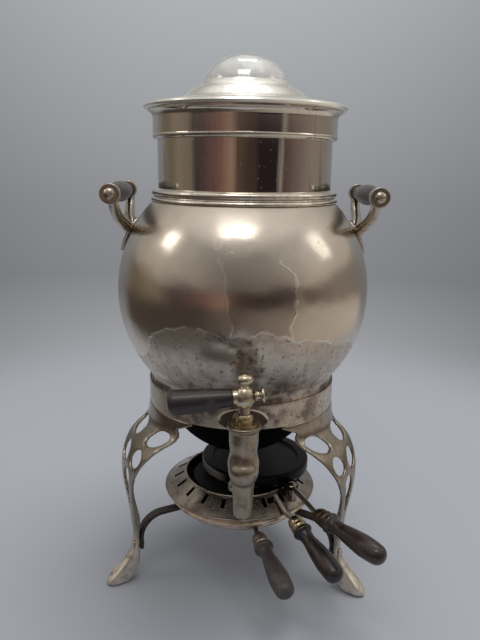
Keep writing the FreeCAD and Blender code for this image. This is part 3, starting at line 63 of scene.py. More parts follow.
# Floor and light
LIT_POINT = (0.0, 0.0, 0.2)
FLOOR_SIDES = 96
FLOOR_FADE_START = 0.34
FLOOR_FADE_END = 0.66
FLOOR_SIDE_START = 0.5
FLOOR_SIDE_END = 0.9
FLOOR_APEX = 0.45
FLOOR_APEX_GAP = 0.01
ROOM_LIGHT = (0.37, 0.37, 0.38)

# Pieces that stand for plain solids, with lengths in metres
LEG_SIDES = ("left", "right", "rear")
LEG_GRAIN = 0.0006
LEG_PASSES = 8
FOOT_TOP = 0.04
FOOT_PASSES = 130
FOOT_BLEND = 0.016
FITTING_GRAIN = 0.0004
FITTING_PASSES = 8
SPOUT_TOP = 0.1335
SPOUT_FRONT = -0.079
SPOUT_BLEND = 0.006
SPOUT_PASSES = 45
TAP_WAIST = 0.1215
TAP_WAIST_DEPTH = -0.0006
TAP_ELBOW = 0.1152
TAP_ELBOW_SWELL = 0.0007
TAP_BEND = 0.0075
BEAD_HEIGHT = 0.2609
BEAD_HALF = 0.0034
BEAD_SWELL = 0.0014
TURN_SIDES = 160
LID_SHEET = 0.001
LID_UNDERSIDE_SHIFT = 0.4 * LID_SHEET
LID_RISE = (
    (0.02625, 0.32845), (0.0274, 0.3283), (0.0279, 0.3271), (0.0287, 0.3259), (0.0300, 0.3250),
    (0.0317, 0.3244), (0.0334, 0.3236), (0.0352, 0.3224), (0.0373, 0.3208), (0.0394, 0.3192),
    (0.0413, 0.3179), (0.0435, 0.3171), (0.0486, 0.31645), (0.0626, 0.31425),
)
LID_EDGE = (
    (0.0637, 0.3138), (0.0642, 0.31265), (0.0637, 0.3115),
    (0.0626, 0.31105), (0.0606, 0.31105), (0.0606, 0.3135),
)
LID_SLEEVE = ((0.02725, 0.32145), (0.02625, 0.32145), (0.02625, 0.32845))
GRIP_FULLEST = 0.62
GRIP_TAPER = -0.0024
GRIP_END_POWER = 1.5
SMOOTHING = 0.5
MERGE_GAP = 0.00001
LID_CREASE = math.radians(40)
GRIP_CREASE = math.radians(50)

# Places that patterns follow, with lengths in metres
# Heights of the feet's brighter colour: partly rubbed plate, partly a painted highlight.
FOOT_BRIGHT_TOP = 0.042
FOOT_BRIGHT_FULL = 0.018
FRONT_START = -0.04
FRONT_FULL = -0.06
SHOULDER_START = 0.238
SHOULDER_FULL = 0.25
TIDE_HEIGHT = 0.188
TIDE_DROP = 4.5
TIDE_WAVE = 0.034
TIDE_RIPPLE = 0.007
RUN_SWAY = 0.022
RIGHT_RUN_PLACE = 0.0285
RIGHT_RUN_TOP = 0.2285
HOOK_WIDTH = 0.009
HOOK_START = 0.219
HOOK_END = 0.2275
LEFT_RUN_PLACE = -0.0125
LEFT_RUN_HEIGHT = 0.21
LEFT_RUN_SLANT = 0.28
LEFT_RUN_TOP = 0.231
TONGUE_TOP = 0.226
TONGUE_FULL = 0.2
STEM_PLACE = 0.003
STEM_TOP = 0.182
ARM_HEIGHT = 0.1815
ARM_SLANT = 0.2
ARM_LEFT = -0.026
ARM_RIGHT = 0.008
HAZE_REACH = 0.072
HAZE_CORE = 0.03
HAZE_TOP = 0.168
HAZE_FULL = 0.146
DRIP_WOBBLE = 0.02
SEAM_STAIN_HEIGHT = 0.1395
TAP_FRONT = (0.0, -0.068, 0.135)
ROSETTE_CENTRE = (0.0, -0.064, 0.1293)
ROSETTE_HALF_WIDTH = 0.0155
ROSETTE_HALF_HEIGHT = 0.0072
CAP_RADIUS = 0.0388
CAP_RUBBED_LEFT = -0.02
CAP_RUBBED_TOP = 0.0066

# Phase of the gauze's weave, in radians per metre
WEAVE = 2400.0


class Value:
    """A shader value; arithmetic on it adds Math nodes to its material."""

    def __init__(self, finish, socket):
        self.finish = finish
        self.socket = socket

    def math(self, operation, first, second=0.0):
        return self.finish.node("ShaderNodeMath", {"operation": operation}, {0: first, 1: second})

    def __add__(self, other):
        return self.math("ADD", self, other)

    def __sub__(self, other):
        return self.math("SUBTRACT", self, other)

    def __rsub__(self, other):
        return self.math("SUBTRACT", other, self)

    def __mul__(self, other):
        return self.math("MULTIPLY", self, other)

    def __truediv__(self, other):
        return self.math("DIVIDE", self, other)

    def __pow__(self, other):
        return self.math("POWER", self, other)

    __radd__ = __add__
    __rmul__ = __mul__

    def size(self):
        return self.math("ABSOLUTE", self)

    def step(self, start, end):
        """Smooth rise from 0 at start to 1 at end."""
        low, high = (start, end) if start < end else (end, start)
        inputs = {
            "Value": self, "From Min": low, "From Max": high,
            "To Min": float(start > end), "To Max": float(start < end),
        }
        return self.finish.node("ShaderNodeMapRange", {"interpolation_type": "SMOOTHSTEP"}, inputs)

    def either(self, other):
        return self.math("MAXIMUM", self, other)


class Finish:
    """A node tree under construction, for a material or the world."""

    def __init__(self, owner):
        self.owner = owner
        owner.use_nodes = True
        self.tree = owner.node_tree
        self.tree.nodes.clear()

    def node(self, kind, settings=None, inputs=None, output=0):
        made = self.tree.nodes.new(kind)
        for key, value in (settings or {}).items():
            if key == "stops":
                self.set_stops(made.color_ramp, value)
            else:
                setattr(made, key, value)
        for key, value in (inputs or {}).items():
            if isinstance(value, Value):
                self.tree.links.new(value.socket, made.inputs[key])
            else:
                made.inputs[key].default_value = value
        return Value(self, made.outputs[output]) if made.outputs else None

    @staticmethod
    def set_stops(ramp, stops):
        while len(ramp.elements) < len(stops):
            ramp.elements.new(1.0)
        for element, (position, colour) in zip(ramp.elements, stops):
            element.position = position
            element.color = (*colour, 1.0)

    def place(self, stretch=(1, 1, 1), turn=(0, 0, 0), centre=(0, 0, 0)):
        """Object coordinates about a centre, turned, then stretched."""
        here = self.node("ShaderNodeTexCoord", output="Object")
        if centre != (0, 0, 0):
            here = self.node("ShaderNodeVectorMath", {"operation": "SUBTRACT"}, {0: here, 1: centre})
        if turn != (0, 0, 0) or stretch != (1, 1, 1):
            here = self.node("ShaderNodeMapping", {}, {"Vector": here, "Rotation": turn, "Scale": stretch})
        return here

    def axes(self, names="XYZ", where=None):
        """The named coordinates of a place, one value each."""
        where = where or self.place()
        return [self.node("ShaderNodeSeparateXYZ", {}, {0: where}, name) for name in names]

    def pointiness(self):
        return self.node("ShaderNodeNewGeometry", output="Pointiness")

    def away(self, point):
        """Distance from a point of the part."""
        here = self.place(centre=point)
        return self.node("ShaderNodeVectorMath", {"operation": "LENGTH"}, {0: here}, "Value")

    def noise(self, scale, detail=3.0, roughness=0.55, where=None):
        inputs = {"Vector": where or self.place(), "Scale": scale, "Detail": detail, "Roughness": roughness}
        return self.node("ShaderNodeTexNoise", {}, inputs)

    def blend(self, factor, first, second):
        first, second = ((*c, 1.0) if isinstance(c, tuple) else c for c in (first, second))
        return self.node("ShaderNodeMix", {"data_type": "RGBA"}, {0: factor, 6: first, 7: second}, 2)

    def ramp(self, factor, *stops):
        return self.node("ShaderNodeValToRGB", {"stops": stops}, {0: factor})

    def bump(self, height, strength, distance):
        inputs = {"Height": height, "Strength": strength, "Distance": distance}
        return self.node("ShaderNodeBump", {}, inputs)

    def surface(self, **inputs):
        named = {key.replace("_", " "): value for key, value in inputs.items()}
        shader = self.node("ShaderNodeBsdfPrincipled", {}, named)
        self.node("ShaderNodeOutputMaterial", {}, {"Surface": shader})
        return self.owner


def new_finish(name):
    return Finish(bpy.data.materials.new(name))


def plated(name, bright, tarnish, gloss, dullness, wear=0.5, pits=0.3, metal=1.0, unevenness=0.0006):
    """Old nickel plate: cloudy brown tarnish, fine rubbing marks and small dark pits."""
    f = new_finish(name)
    cloud = f.noise(38.0, 5.0, 0.6).step(0.66 - 0.3 * wear, 0.8)
    mottle = f.noise(170.0, 4.0, 0.65).step(0.48, 0.72)
    fine = f.noise(420.0, 4.0, 0.6)
    rubbed = f.noise(900.0, 2.0, 0.5, f.place(stretch=(1, 1, 0.06)))
    speck = f.noise(620.0, 2.0, 0.5).step(0.74 - 0.1 * pits, 0.8 - 0.1 * pits)
    uneven = f.noise(70.0, 1.0, 0.4)
    colour = f.blend(cloud * 0.8, bright, tarnish)
    colour = f.blend(mottle * (0.25 + 0.35 * wear), colour, tuple(0.7 * c for c in tarnish))
    colour = f.blend(speck * 0.75, colour, tuple(0.3 * c for c in tarnish))
    rough = gloss + cloud * dullness + mottle * 0.08 + fine * 0.05 + rubbed * 0.04 + speck * 0.25
    relief = fine * 0.25 + rubbed * 0.2 - speck + uneven * 4.0
    return f.surface(
        Base_Color=colour, Metallic=metal, Roughness=rough, Normal=f.bump(relief, 0.15, unevenness)
    )


def cast_plate():
    """Plated casting: tarnished on the lattice; the feet and the ridges painted brighter, partly rubbed
    plate and partly painted highlight; the recesses painted darker as painted shade.
    """
    f = new_finish("leg plate")
    (height,) = f.axes("Z")
    # Feet painted brighter: partly rubbed plate, partly a painted highlight.
    foot = height.step(FOOT_BRIGHT_TOP, FOOT_BRIGHT_FULL)
    # Ridges painted brighter: partly rubbed plate, partly a painted highlight.
    rubbed_and_lit_edges = f.pointiness().step(0.5, 0.6) * (1.0 - foot)
    # Recesses painted darker as painted shade.
    shaded_hollows = f.pointiness().step(0.49, 0.42) * (1.0 - foot)
    cloud = f.noise(42.0, 5.0, 0.62).step(0.4, 0.7)
    mottle = f.noise(190.0, 4.0, 0.65).step(0.45, 0.7)
    fine = f.noise(480.0, 4.0, 0.6)
    colour = f.blend(cloud * 0.7, (0.36, 0.315, 0.26), (0.22, 0.18, 0.13))
    colour = f.blend(mottle * 0.45, colour, (0.17, 0.13, 0.088))
    # Brighter colour on the feet and ridges: rubbed plate and painted highlight.
    bright = (rubbed_and_lit_edges * 0.5).either(foot * (0.85 - 0.6 * mottle))
    colour = f.blend(bright, colour, (0.84, 0.76, 0.66))
    # Painted shade in the recesses.
    colour = f.blend(shaded_hollows * 0.8, colour, (0.10, 0.075, 0.05))
    rough = 0.15 + 0.1 * cloud + 0.1 * mottle + 0.05 * fine + 0.13 * foot
    relief = f.noise(85.0, 2.0, 0.5) * 3.0 + fine * 0.5 - mottle * 0.3
    return f.surface(
        Base_Color=colour, Metallic=1.0, Roughness=rough, Normal=f.bump(relief, 0.15, 0.0006)
    )


def globe_runs(f, across, height, above):
    """Two bright dried runs down the front of the globe, and the darker tongue between them."""
    sway = (f.noise(48.0, 3.0, 0.55) - 0.5) * RUN_SWAY
    right = across - RIGHT_RUN_PLACE + HOOK_WIDTH * height.step(HOOK_START, HOOK_END) + sway
    left = across - LEFT_RUN_PLACE + (height - LEFT_RUN_HEIGHT) * LEFT_RUN_SLANT + sway
    run = right.size().step(0.0014, 0.0004) * height.step(RIGHT_RUN_TOP, RIGHT_RUN_TOP - 0.0013)
    left_run = left.size().step(0.0013, 0.0004) * height.step(LEFT_RUN_TOP, LEFT_RUN_TOP - 0.006)
    run = run.either(left_run * 0.6) * above * f.noise(110.0, 2.0).step(0.3, 0.45)
    tongue = left.step(-0.001, 0.003) * right.step(0.001, -0.003) * above
    tongue = tongue * height.step(TONGUE_TOP, TONGUE_FULL)
    return run, tongue


def globe_stain(f, across, height, front, mottle):
    """Dark drips over the tap, haze around it and dirt along the band's seam."""
    wobble = (f.noise(95.0, 3.0, 0.6) - 0.5) * DRIP_WOBBLE
    stem = (across - STEM_PLACE + wobble).size().step(0.0085, 0.004)
    stem = stem * height.step(STEM_TOP, STEM_TOP - 0.007)
    arm = (height - ARM_HEIGHT + wobble * 0.5 + across * ARM_SLANT).size().step(0.0045, 0.0015)
    arm = arm * across.step(ARM_LEFT, ARM_LEFT + 0.007) * across.step(ARM_RIGHT, ARM_RIGHT - 0.006)
    near_tap = f.away(TAP_FRONT).step(HAZE_REACH, HAZE_CORE) * height.step(HAZE_TOP, HAZE_FULL)
    haze = near_tap * f.noise(60.0, 5.0, 0.65).step(0.4, 0.62)
    drips = stem.either(arm) * front * (0.55 + 0.45 * mottle)
    seam = (height - SEAM_STAIN_HEIGHT).size().step(0.0045, 0.0005) * f.noise(90.0, 3.0).step(0.3, 0.6)
    return drips.either(haze).either(seam)


def globe_plate():
    """Spun globe: polished but uneven above a scalloped tide line, dull and stained below it."""
    f = new_finish("globe plate")
    across, depth, height = f.axes()
    wave = f.noise(24.0, 1.0, 0.4)
    ripple = f.noise(120.0, 3.0, 0.6)
    line = height + across * across * TIDE_DROP + (wave - 0.5) * TIDE_WAVE + (ripple - 0.5) * TIDE_RIPPLE
    line = line - TIDE_HEIGHT
    low = line.step(0.0012, -0.0012)
    edge = line.size().step(0.0011, 0.0002) * f.noise(80.0, 2.0).step(0.38, 0.5)
    front = depth.step(FRONT_START, FRONT_FULL)
    run, tongue = globe_runs(f, across, height, line.step(-0.001, 0.002) * front)
    cloud = f.noise(30.0, 6.0, 0.62).step(0.42, 0.72)
    mottle = f.noise(210.0, 5.0, 0.7).step(0.42, 0.68)
    fine = f.noise(520.0, 4.0, 0.6)
    speck = f.noise(430.0, 3.0, 0.55).step(0.61, 0.68)
    small_speck = f.noise(900.0, 2.0, 0.5).step(0.69, 0.74)
    stain = globe_stain(f, across, height, front, mottle)
    colour = f.blend(cloud * 0.4, (0.65, 0.58, 0.50), (0.49, 0.41, 0.33))
    colour = f.blend(tongue * 0.45, colour, (0.34, 0.26, 0.225))
    colour = f.blend(low * (0.4 + 0.4 * cloud), colour, (0.55, 0.465, 0.385))
    colour = f.blend(low * mottle * 0.4, colour, (0.31, 0.255, 0.205))
    colour = f.blend((edge * 0.9).either(run * 0.7), colour, (0.80, 0.75, 0.66))
    colour = f.blend((low * speck * 0.7).either(small_speck * 0.4), colour, (0.10, 0.075, 0.055))
    colour = f.blend(stain * 0.85, colour, (0.07, 0.045, 0.033))
    rough = 0.165 + 0.05 * cloud + 0.04 * fine + low * (0.1 + 0.1 * mottle) + 0.25 * stain
    rough = rough + 0.17 * height.step(SHOULDER_START, SHOULDER_FULL)
    relief = fine * 0.15 - low * speck * 0.8 - small_speck * 0.4 + edge * 1.2 + run * 0.5
    relief = relief + wave * 9.0 + f.noise(55.0, 1.0, 0.4) * 3.0
    return f.surface(
        Base_Color=colour, Metallic=1.0 - 0.1 * low, Roughness=rough, Normal=f.bump(relief, 0.2, 0.0008)
    )


def bright_tube():
    """Mirror-bright neck: upright polishing marks, thin brown runs and a slightly wavy sheet."""
    f = new_finish("neck plate")
    upright = f.noise(260.0, 3.0, 0.6, f.place(stretch=(1, 1, 0.05)))
    run = f.noise(170.0, 3.0, 0.6, f.place(stretch=(1, 1, 0.1))).step(0.58, 0.7)
    cloud = f.noise(45.0, 4.0, 0.6).step(0.5, 0.75)
    speck = f.noise(500.0, 2.0, 0.5).step(0.7, 0.75)
    wavy = f.noise(42.0, 1.0, 0.4, f.place(stretch=(1, 1, 0.35)))
    colour = f.blend(cloud * 0.4, (0.70, 0.645, 0.57), (0.52, 0.455, 0.375))
    colour = f.blend(run * 0.45, colour, (0.34, 0.27, 0.20))
    colour = f.blend(speck * 0.6, colour, (0.16, 0.12, 0.09))
    rough = 0.05 + 0.05 * cloud + 0.05 * upright + 0.06 * run + 0.2 * speck
    relief = upright * 0.6 - speck + wavy * 7.0
    return f.surface(
        Base_Color=colour, Metallic=1.0, Roughness=rough, Normal=f.bump(relief, 0.12, 0.0007)
    )


def black_heat(name, tint, gloss, shine):
    """Heat-blackened sheet with soot and grey rubbed patches."""
    f = new_finish(name)
    soot = f.noise(55.0, 5.0, 0.65)
    grit = f.noise(700.0, 3.0, 0.6)
    patch = soot.step(0.52, 0.74)
    colour = f.blend(patch * 0.5, tint, tuple(3.2 * c + 0.004 for c in tint))
    rough = gloss + 0.25 * soot + 0.1 * grit
    return f.surface(
        Base_Color=colour, Roughness=rough, Specular_IOR_Level=shine,
        Normal=f.bump(grit + soot * 0.6, 0.25, 0.0006),
    )


def turned_wood(name, dark, worn, along, gloss, wear=0.5):
    """Turned hardwood: grain along the handle, rubbed pale in patches."""
    f = new_finish(name)
    lengthwise = Vector(along).to_track_quat("Z", "Y").inverted().to_euler()
    where = f.place(stretch=(1, 1, 0.08), turn=tuple(lengthwise))
    grain = f.noise(520.0, 5.0, 0.65, where)
    pores = f.noise(1500.0, 2.0, 0.5, where).step(0.62, 0.7)
    rub = f.noise(75.0, 4.0, 0.6).step(0.62 - 0.25 * wear, 0.72)
    colour = f.blend(grain * 0.7, tuple(0.55 * c for c in dark), dark)
    colour = f.blend(rub * 0.65, colour, worn)
    colour = f.blend(pores * 0.6, colour, tuple(0.3 * c for c in dark))
    rough = gloss + 0.15 * rub + 0.12 * grain
    return f.surface(
        Base_Color=colour, Roughness=rough, Coat_Weight=0.25 - 0.2 * rub, Coat_Roughness=0.2,
        Normal=f.bump(grain * 0.5 - pores, 0.25, 0.0004),
    )


def dome_glass():
    """Old pressed glass, ivory and milky with age, with faint ripples."""
    f = new_finish("dome glass")
    ripple = f.noise(60.0, 2.0, 0.5) + 0.2 * f.noise(420.0, 2.0, 0.5)
    film = f.noise(140.0, 4.0, 0.6)
    colour = f.blend(film, (0.97, 0.965, 0.935), (0.89, 0.88, 0.83))
    rough = 0.02 + 0.04 * film
    return f.surface(
        Base_Color=colour, Roughness=rough, IOR=1.5, Transmission_Weight=0.5,
        Coat_Weight=1.0, Coat_Roughness=0.02, Coat_IOR=2.0, Normal=f.bump(ripple, 0.2, 0.001),
    )


def rosette_plate():
    """Plate behind the tap: coloured nearly black as painted shade, mottled by stains, its upper edge
    painted with a bright highlight.
    """
    f = new_finish("rosette plate")
    across, height = f.axes("XZ", f.place(centre=ROSETTE_CENTRE))
    wide = across / ROSETTE_HALF_WIDTH
    tall = height / ROSETTE_HALF_HEIGHT
    stain = f.noise(160.0, 4.0, 0.65)
    # Painted highlight along the upper edge of the plate.
    rim_highlight = (wide * wide + tall * tall).step(0.7, 0.86) * tall.step(-0.3, 0.1) * stain.step(0.35, 0.5)
    # Painted shade: nearly black, mottled by stains.
    colour = f.blend(stain, (0.035, 0.026, 0.02), (0.13, 0.10, 0.075))
    colour = f.blend(rim_highlight, colour, (0.86, 0.80, 0.66))
    return f.surface(
        Base_Color=colour, Metallic=0.8, Roughness=0.42 - 0.2 * rim_highlight, Normal=f.bump(stain, 0.2, 0.0005)
    )


def cap_black():
    """Blackened cap, its skirt rubbed to the metal on the left and along its lower edge."""
    f = new_finish("cap black")
    low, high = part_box("snuffer_cap")
    centre = (low.x + CAP_RADIUS, high.y - CAP_RADIUS, low.z)
    across, depth, height = f.axes("XYZ", f.place(centre=centre))
    out = (across * across + depth * depth) ** 0.5
    soot = f.noise(70.0, 5.0, 0.65)
    grit = f.noise(600.0, 3.0, 0.6)
    skirt = out.step(CAP_RADIUS - 0.0016, CAP_RADIUS - 0.0008)
    left = across.step(CAP_RUBBED_LEFT, CAP_RUBBED_LEFT - 0.01)
    left = left * height.step(0.0005, 0.0015) * height.step(CAP_RUBBED_TOP, CAP_RUBBED_TOP - 0.001)
    lower_edge = height.step(0.0016, 0.0006) * f.noise(120.0, 3.0).step(0.45, 0.6)
    worn = skirt * left.either(lower_edge * 0.6) * (0.5 + 0.5 * soot)
    colour = f.blend(soot.step(0.5, 0.74) * 0.5, (0.0022, 0.0015, 0.0018), (0.011, 0.009, 0.009))
    colour = f.blend(worn, colour, (0.40, 0.36, 0.32))
    return f.surface(
        Base_Color=colour, Metallic=worn * 0.7, Roughness=0.27 + 0.2 * soot, Specular_IOR_Level=0.12,
        Normal=f.bump(grit + soot * 0.6, 0.2, 0.0006),
    )


def packed_fibre():
    f = new_finish("wick fibre")
    strand = f.noise(900.0, 5.0, 0.7)
    colour = f.blend(strand, (0.22, 0.20, 0.18), (0.55, 0.52, 0.48))
    return f.surface(Base_Color=colour, Roughness=0.9 + 0.05 * strand, Normal=f.bump(strand, 0.6, 0.001))


def wire_gauze():
    """Blackened woven wire: crossed rows of wires seen from above."""
    f = new_finish("wick gauze")
    x, y = f.axes("XY", f.place(stretch=(WEAVE, WEAVE, 1)))
    warp = x.math("SINE", x).size()
    weft = y.math("SINE", y).size()
    wire = warp.either(weft).step(0.6, 0.95)
    soot = f.noise(90.0, 4.0)
    metal = f.blend(soot, (0.012, 0.010, 0.010), (0.045, 0.036, 0.028))
    colour = f.blend(wire, (0.003, 0.0025, 0.0025), metal)
    return f.surface(
        Base_Color=colour, Metallic=0.7, Roughness=0.5 + 0.2 * soot, Normal=f.bump(wire, 0.5, 0.0004)
    )


def finishes():
    """One material for each slot of the record."""
    down_right = (1.0, -2.5, -0.5)
    return {
        "globe_nickel": globe_plate(),
        "collar_nickel": plated(
            "collar plate", (0.76, 0.70, 0.61), (0.32, 0.25, 0.175),
            gloss=0.15, dullness=0.18, wear=0.45, pits=0.5,
        ),
        "neck_nickel": bright_tube(),
        "lid_nickel": plated(
            "lid plate", (0.95, 0.92, 0.85), (0.80, 0.74, 0.64),
            gloss=0.2, dullness=0.1, wear=0.1, pits=0.0, metal=0.85, unevenness=0.00015,
        ),
        "clear_glass": dome_glass(),
        "sooty_steel": black_heat("bowl soot", (0.002, 0.0016, 0.0016), gloss=0.6, shine=0.03),
        "leg_nickel": cast_plate(),
        "bracket_nickel": plated(
            "bracket plate", (0.52, 0.46, 0.39), (0.22, 0.17, 0.125),
            gloss=0.2, dullness=0.2, wear=0.6, pits=0.5,
        ),
        "grip_wood": turned_wood(
            "grip wood", (0.05, 0.036, 0.032), (0.16, 0.12, 0.10),
            along=(0, 1, 0), gloss=0.3, wear=0.5,
        ),
        "tap_nickel": plated(
            "tap plate", (0.36, 0.305, 0.24), (0.12, 0.086, 0.057),
            gloss=0.24, dullness=0.12, wear=0.6, pits=0.6,
        ),
        "key_nickel": plated(
            "key plate", (0.64, 0.56, 0.44), (0.30, 0.225, 0.13),
            gloss=0.17, dullness=0.2, wear=0.7, pits=0.6,
        ),
        "lever_wood": turned_wood(
            "lever wood", (0.026, 0.018, 0.02), (0.085, 0.06, 0.06),
            along=(1, 0, 0.09), gloss=0.32, wear=0.4,
        ),
        "burner_nickel": plated(
            "burner plate", (0.40, 0.34, 0.285), (0.10, 0.075, 0.058),
            gloss=0.16, dullness=0.2, wear=0.95, pits=0.9,
        ),
        "burner_black": black_heat("burner black", (0.0022, 0.0015, 0.0018), gloss=0.25, shine=0.16),
        "wick_fibre": packed_fibre(),
        "wick_mesh": wire_gauze(),
        "handle_steel": plated(
            "handle steel", (0.36, 0.31, 0.26), (0.13, 0.10, 0.075),
            gloss=0.26, dullness=0.22, wear=0.8, pits=0.8,
        ),
        "carry_wood": turned_wood(
            "carry wood", (0.07, 0.054, 0.054), (0.13, 0.10, 0.095),
            along=down_right, gloss=0.45, wear=0.5,
        ),
        "shutter_wood": turned_wood(
            "shutter wood", (0.018, 0.011, 0.011), (0.075, 0.042, 0.027),
            along=down_right, gloss=0.3, wear=0.4,
        ),
        "snuffer_wood": turned_wood(
            "snuffer wood", (0.032, 0.018, 0.018), (0.085, 0.035, 0.026),
            along=down_right, gloss=0.18, wear=0.35,
        ),
        "insert_metal": plated(
            "insert metal", (0.72, 0.71, 0.69), (0.45, 0.42, 0.38),
            gloss=0.28, dullness=0.2, wear=0.5, pits=0.4,
        ),
    }


def special_finishes():
    """Nodes whose finish has aged differently from the rest of their slot."""
    strap = plated(
        "strap steel", (0.085, 0.073, 0.065), (0.035, 0.029, 0.025),
        gloss=0.32, dullness=0.2, wear=0.8, pits=0.6,
    )
    brass = plated(
        "bonnet brass", (0.50, 0.40, 0.25), (0.20, 0.14, 0.075),
        gloss=0.2, dullness=0.2, wear=0.6, pits=0.5,
    )
    ferrule = plated(
        "dark ferrule", (0.12, 0.085, 0.06), (0.04, 0.03, 0.024),
        gloss=0.3, dullness=0.2, wear=0.8, pits=0.6,
    )
    pan = plated(
        "pan plate", (0.72, 0.60, 0.50), (0.24, 0.175, 0.135),
        gloss=0.2, dullness=0.2, wear=0.7, pits=0.8,
    )
    special = {
        "burner_base": pan,
        "tap_rosette": rosette_plate(),
        "snuffer_cap": cap_black(),
        "snuffer_ferrule": ferrule,
        "tap_bonnet": brass,
        "shutter_ferrule": brass,
    }
    special.update({"cradle_arm_" + side: strap for side in LEG_SIDES})
    return special


def dress(made, special):
    """Put each slot's material on the nodes of that slot, apart from the special ones."""
    for node, slot in slot_of.items():
        materials = nodes[node].data.materials
        materials.clear()
        materials.append(special.get(node, made[slot]))


def pick(piece):
    bpy.ops.object.select_all(action="DESELECT")
    piece.select_set(True)
    bpy.context.view_layer.objects.active = piece


def rub(piece, passes, group=""):
    """Round a piece's edges, or only those of a vertex group."""
    pick(piece)
    smooth = piece.modifiers.new("rounded edges", "SMOOTH")
    smooth.factor = SMOOTHING
    smooth.iterations = passes
    smooth.vertex_group = group
    bpy.ops.object.modifier_apply(modifier=smooth.name)


def rub_where(piece, passes, share):
    """Round a piece's edges by the share, held between 0 and 1, that each place has."""
    group = piece.vertex_groups.new(name="rubbed")
    for vertex in piece.data.vertices:
        group.add([vertex.index], min(max(share(vertex.co), 0.0), 1.0), "REPLACE")
    rub(piece, passes, group.name)


def bell(value, centre, half_width):
    """1 at a centre, falling smoothly to 0 at half a width away from it."""
    away = min(abs(value - centre) / half_width, 1.0)
    return 0.5 + 0.5 * math.cos(math.pi * away)


def swell(piece, amount, share):
    """Push a piece's skin out by an amount times the share that each vertex has."""
    group = piece.vertex_groups.new(name="swollen")
    for vertex in piece.data.vertices:
        group.add([vertex.index], share(vertex), "REPLACE")
    pick(piece)
    push = piece.modifiers.new("swell", "DISPLACE")
    push.strength = amount
    push.mid_level = 0.0
    push.vertex_group = group.name
    bpy.ops.object.modifier_apply(modifier=push.name)


def close(piece):
    """Join a piece's loose triangles and its seams into one closed skin."""
    pick(piece)
    bpy.ops.object.mode_set(mode="EDIT")
    bpy.ops.mesh.select_all(action="SELECT")
    bpy.ops.mesh.remove_doubles(threshold=MERGE_GAP)
    bpy.ops.mesh.normals_make_consistent(inside=False)
    bpy.ops.object.mode_set(mode="OBJECT")


def soften(piece, grain, passes):
    """Even out a closed skin and round its edges as casting and polishing do."""
    pick(piece)
    remesh = piece.modifiers.new("even mesh", "REMESH")
    remesh.mode = "VOXEL"
    remesh.voxel_size = grain
    bpy.ops.object.modifier_apply(modifier=remesh.name)
    rub(piece, passes)
    bpy.ops.object.shade_smooth()


def replace(piece, node_name):
    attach(piece, body_of[node_name])
    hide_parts(node_name)


def stand_in(node_name, name):
    """A closed piece that stands for a plain solid, on its body and in its finish."""
    piece = bpy.data.objects.new(name, nodes[node_name].data.copy())
    scene.collection.objects.link(piece)
    close(piece)
    replace(piece, node_name)
    return piece


def softened(node_name, name, grain, passes):
    piece = stand_in(node_name, name)
    soften(piece, grain, passes)
    return piece


def cast_legs():
    """Legs with softened edges and well rounded spoon feet."""
    for side in LEG_SIDES:
        leg = softened("leg_" + side, "cast_leg_" + side, LEG_GRAIN, LEG_PASSES)
        rub_where(leg, FOOT_PASSES, lambda place: (FOOT_TOP - place.z) / FOOT_BLEND)


def fittings():
    """Tap with a waist over its elbow, and handle castings, all with softened edges."""

    def low_on_spout(place):
        return (SPOUT_TOP - place.z) / SPOUT_BLEND * (place.y < SPOUT_FRONT)

    def ring_at(height):
        """Share of a ring round the spout, fullest at a height."""
        return lambda vertex: bell(vertex.co.z, height, TAP_BEND) * (vertex.co.y < SPOUT_FRONT)

    tap = softened("tap_body", "tap_casting", FITTING_GRAIN, FITTING_PASSES)
    rub_where(tap, SPOUT_PASSES, low_on_spout)
    swell(tap, TAP_WAIST_DEPTH, ring_at(TAP_WAIST))
    swell(tap, TAP_ELBOW_SWELL, ring_at(TAP_ELBOW))
    for side in ("left", "right"):
        softened("side_bracket_" + side, "bracket_casting_" + side, FITTING_GRAIN, FITTING_PASSES)


def turned(name, profile):
    """Turn a closed profile of radii and heights round the urn's axis."""
    bpy.ops.object.select_all(action="DESELECT")
    radius, height = profile[0]
    bpy.ops.mesh.primitive_circle_add(vertices=TURN_SIDES, radius=radius, location=(0, 0, height))
    piece = bpy.context.object
    piece.name = name
    bpy.ops.object.transform_apply(location=True)
    bpy.ops.object.mode_set(mode="EDIT")
    bpy.ops.mesh.select_all(action="SELECT")
    for radius_next, height_next in profile[1:]:
        bpy.ops.mesh.extrude_region_move(TRANSFORM_OT_translate={"value": (0, 0, height_next - height)})
        share = radius_next / radius
        bpy.ops.transform.resize(value=(share, share, 1.0), center_override=(0, 0, height_next))
        radius, height = radius_next, height_next
    bpy.ops.object.mode_set(mode="OBJECT")
    close(piece)
    bpy.ops.object.shade_smooth_by_angle(angle=LID_CREASE)
    return piece


def collar_and_lid():
    """Collar with a fuller upper bead, and a lid whose ogee swells out to its flange."""
    collar = softened("neck_collar", "rolled_collar", LEG_GRAIN, FITTING_PASSES // 2)
    swell(collar, BEAD_SWELL, lambda vertex: bell(vertex.co.z, BEAD_HEIGHT, BEAD_HALF))
    slope = reversed(LID_RISE[2:-1])
    under = [(radius - LID_UNDERSIDE_SHIFT, height - LID_SHEET) for radius, height in slope]
    lid = turned("spun_lid", [*LID_RISE, *LID_EDGE, *under, *LID_SLEEVE])
    lid.data.materials.append(nodes["lid_shell"].data.materials[0])
    replace(lid, "lid_shell")


def middle_of(node_name):
    points = [vertex.co for vertex in nodes[node_name].data.vertices]
    return sum(points, Vector()) / len(points)


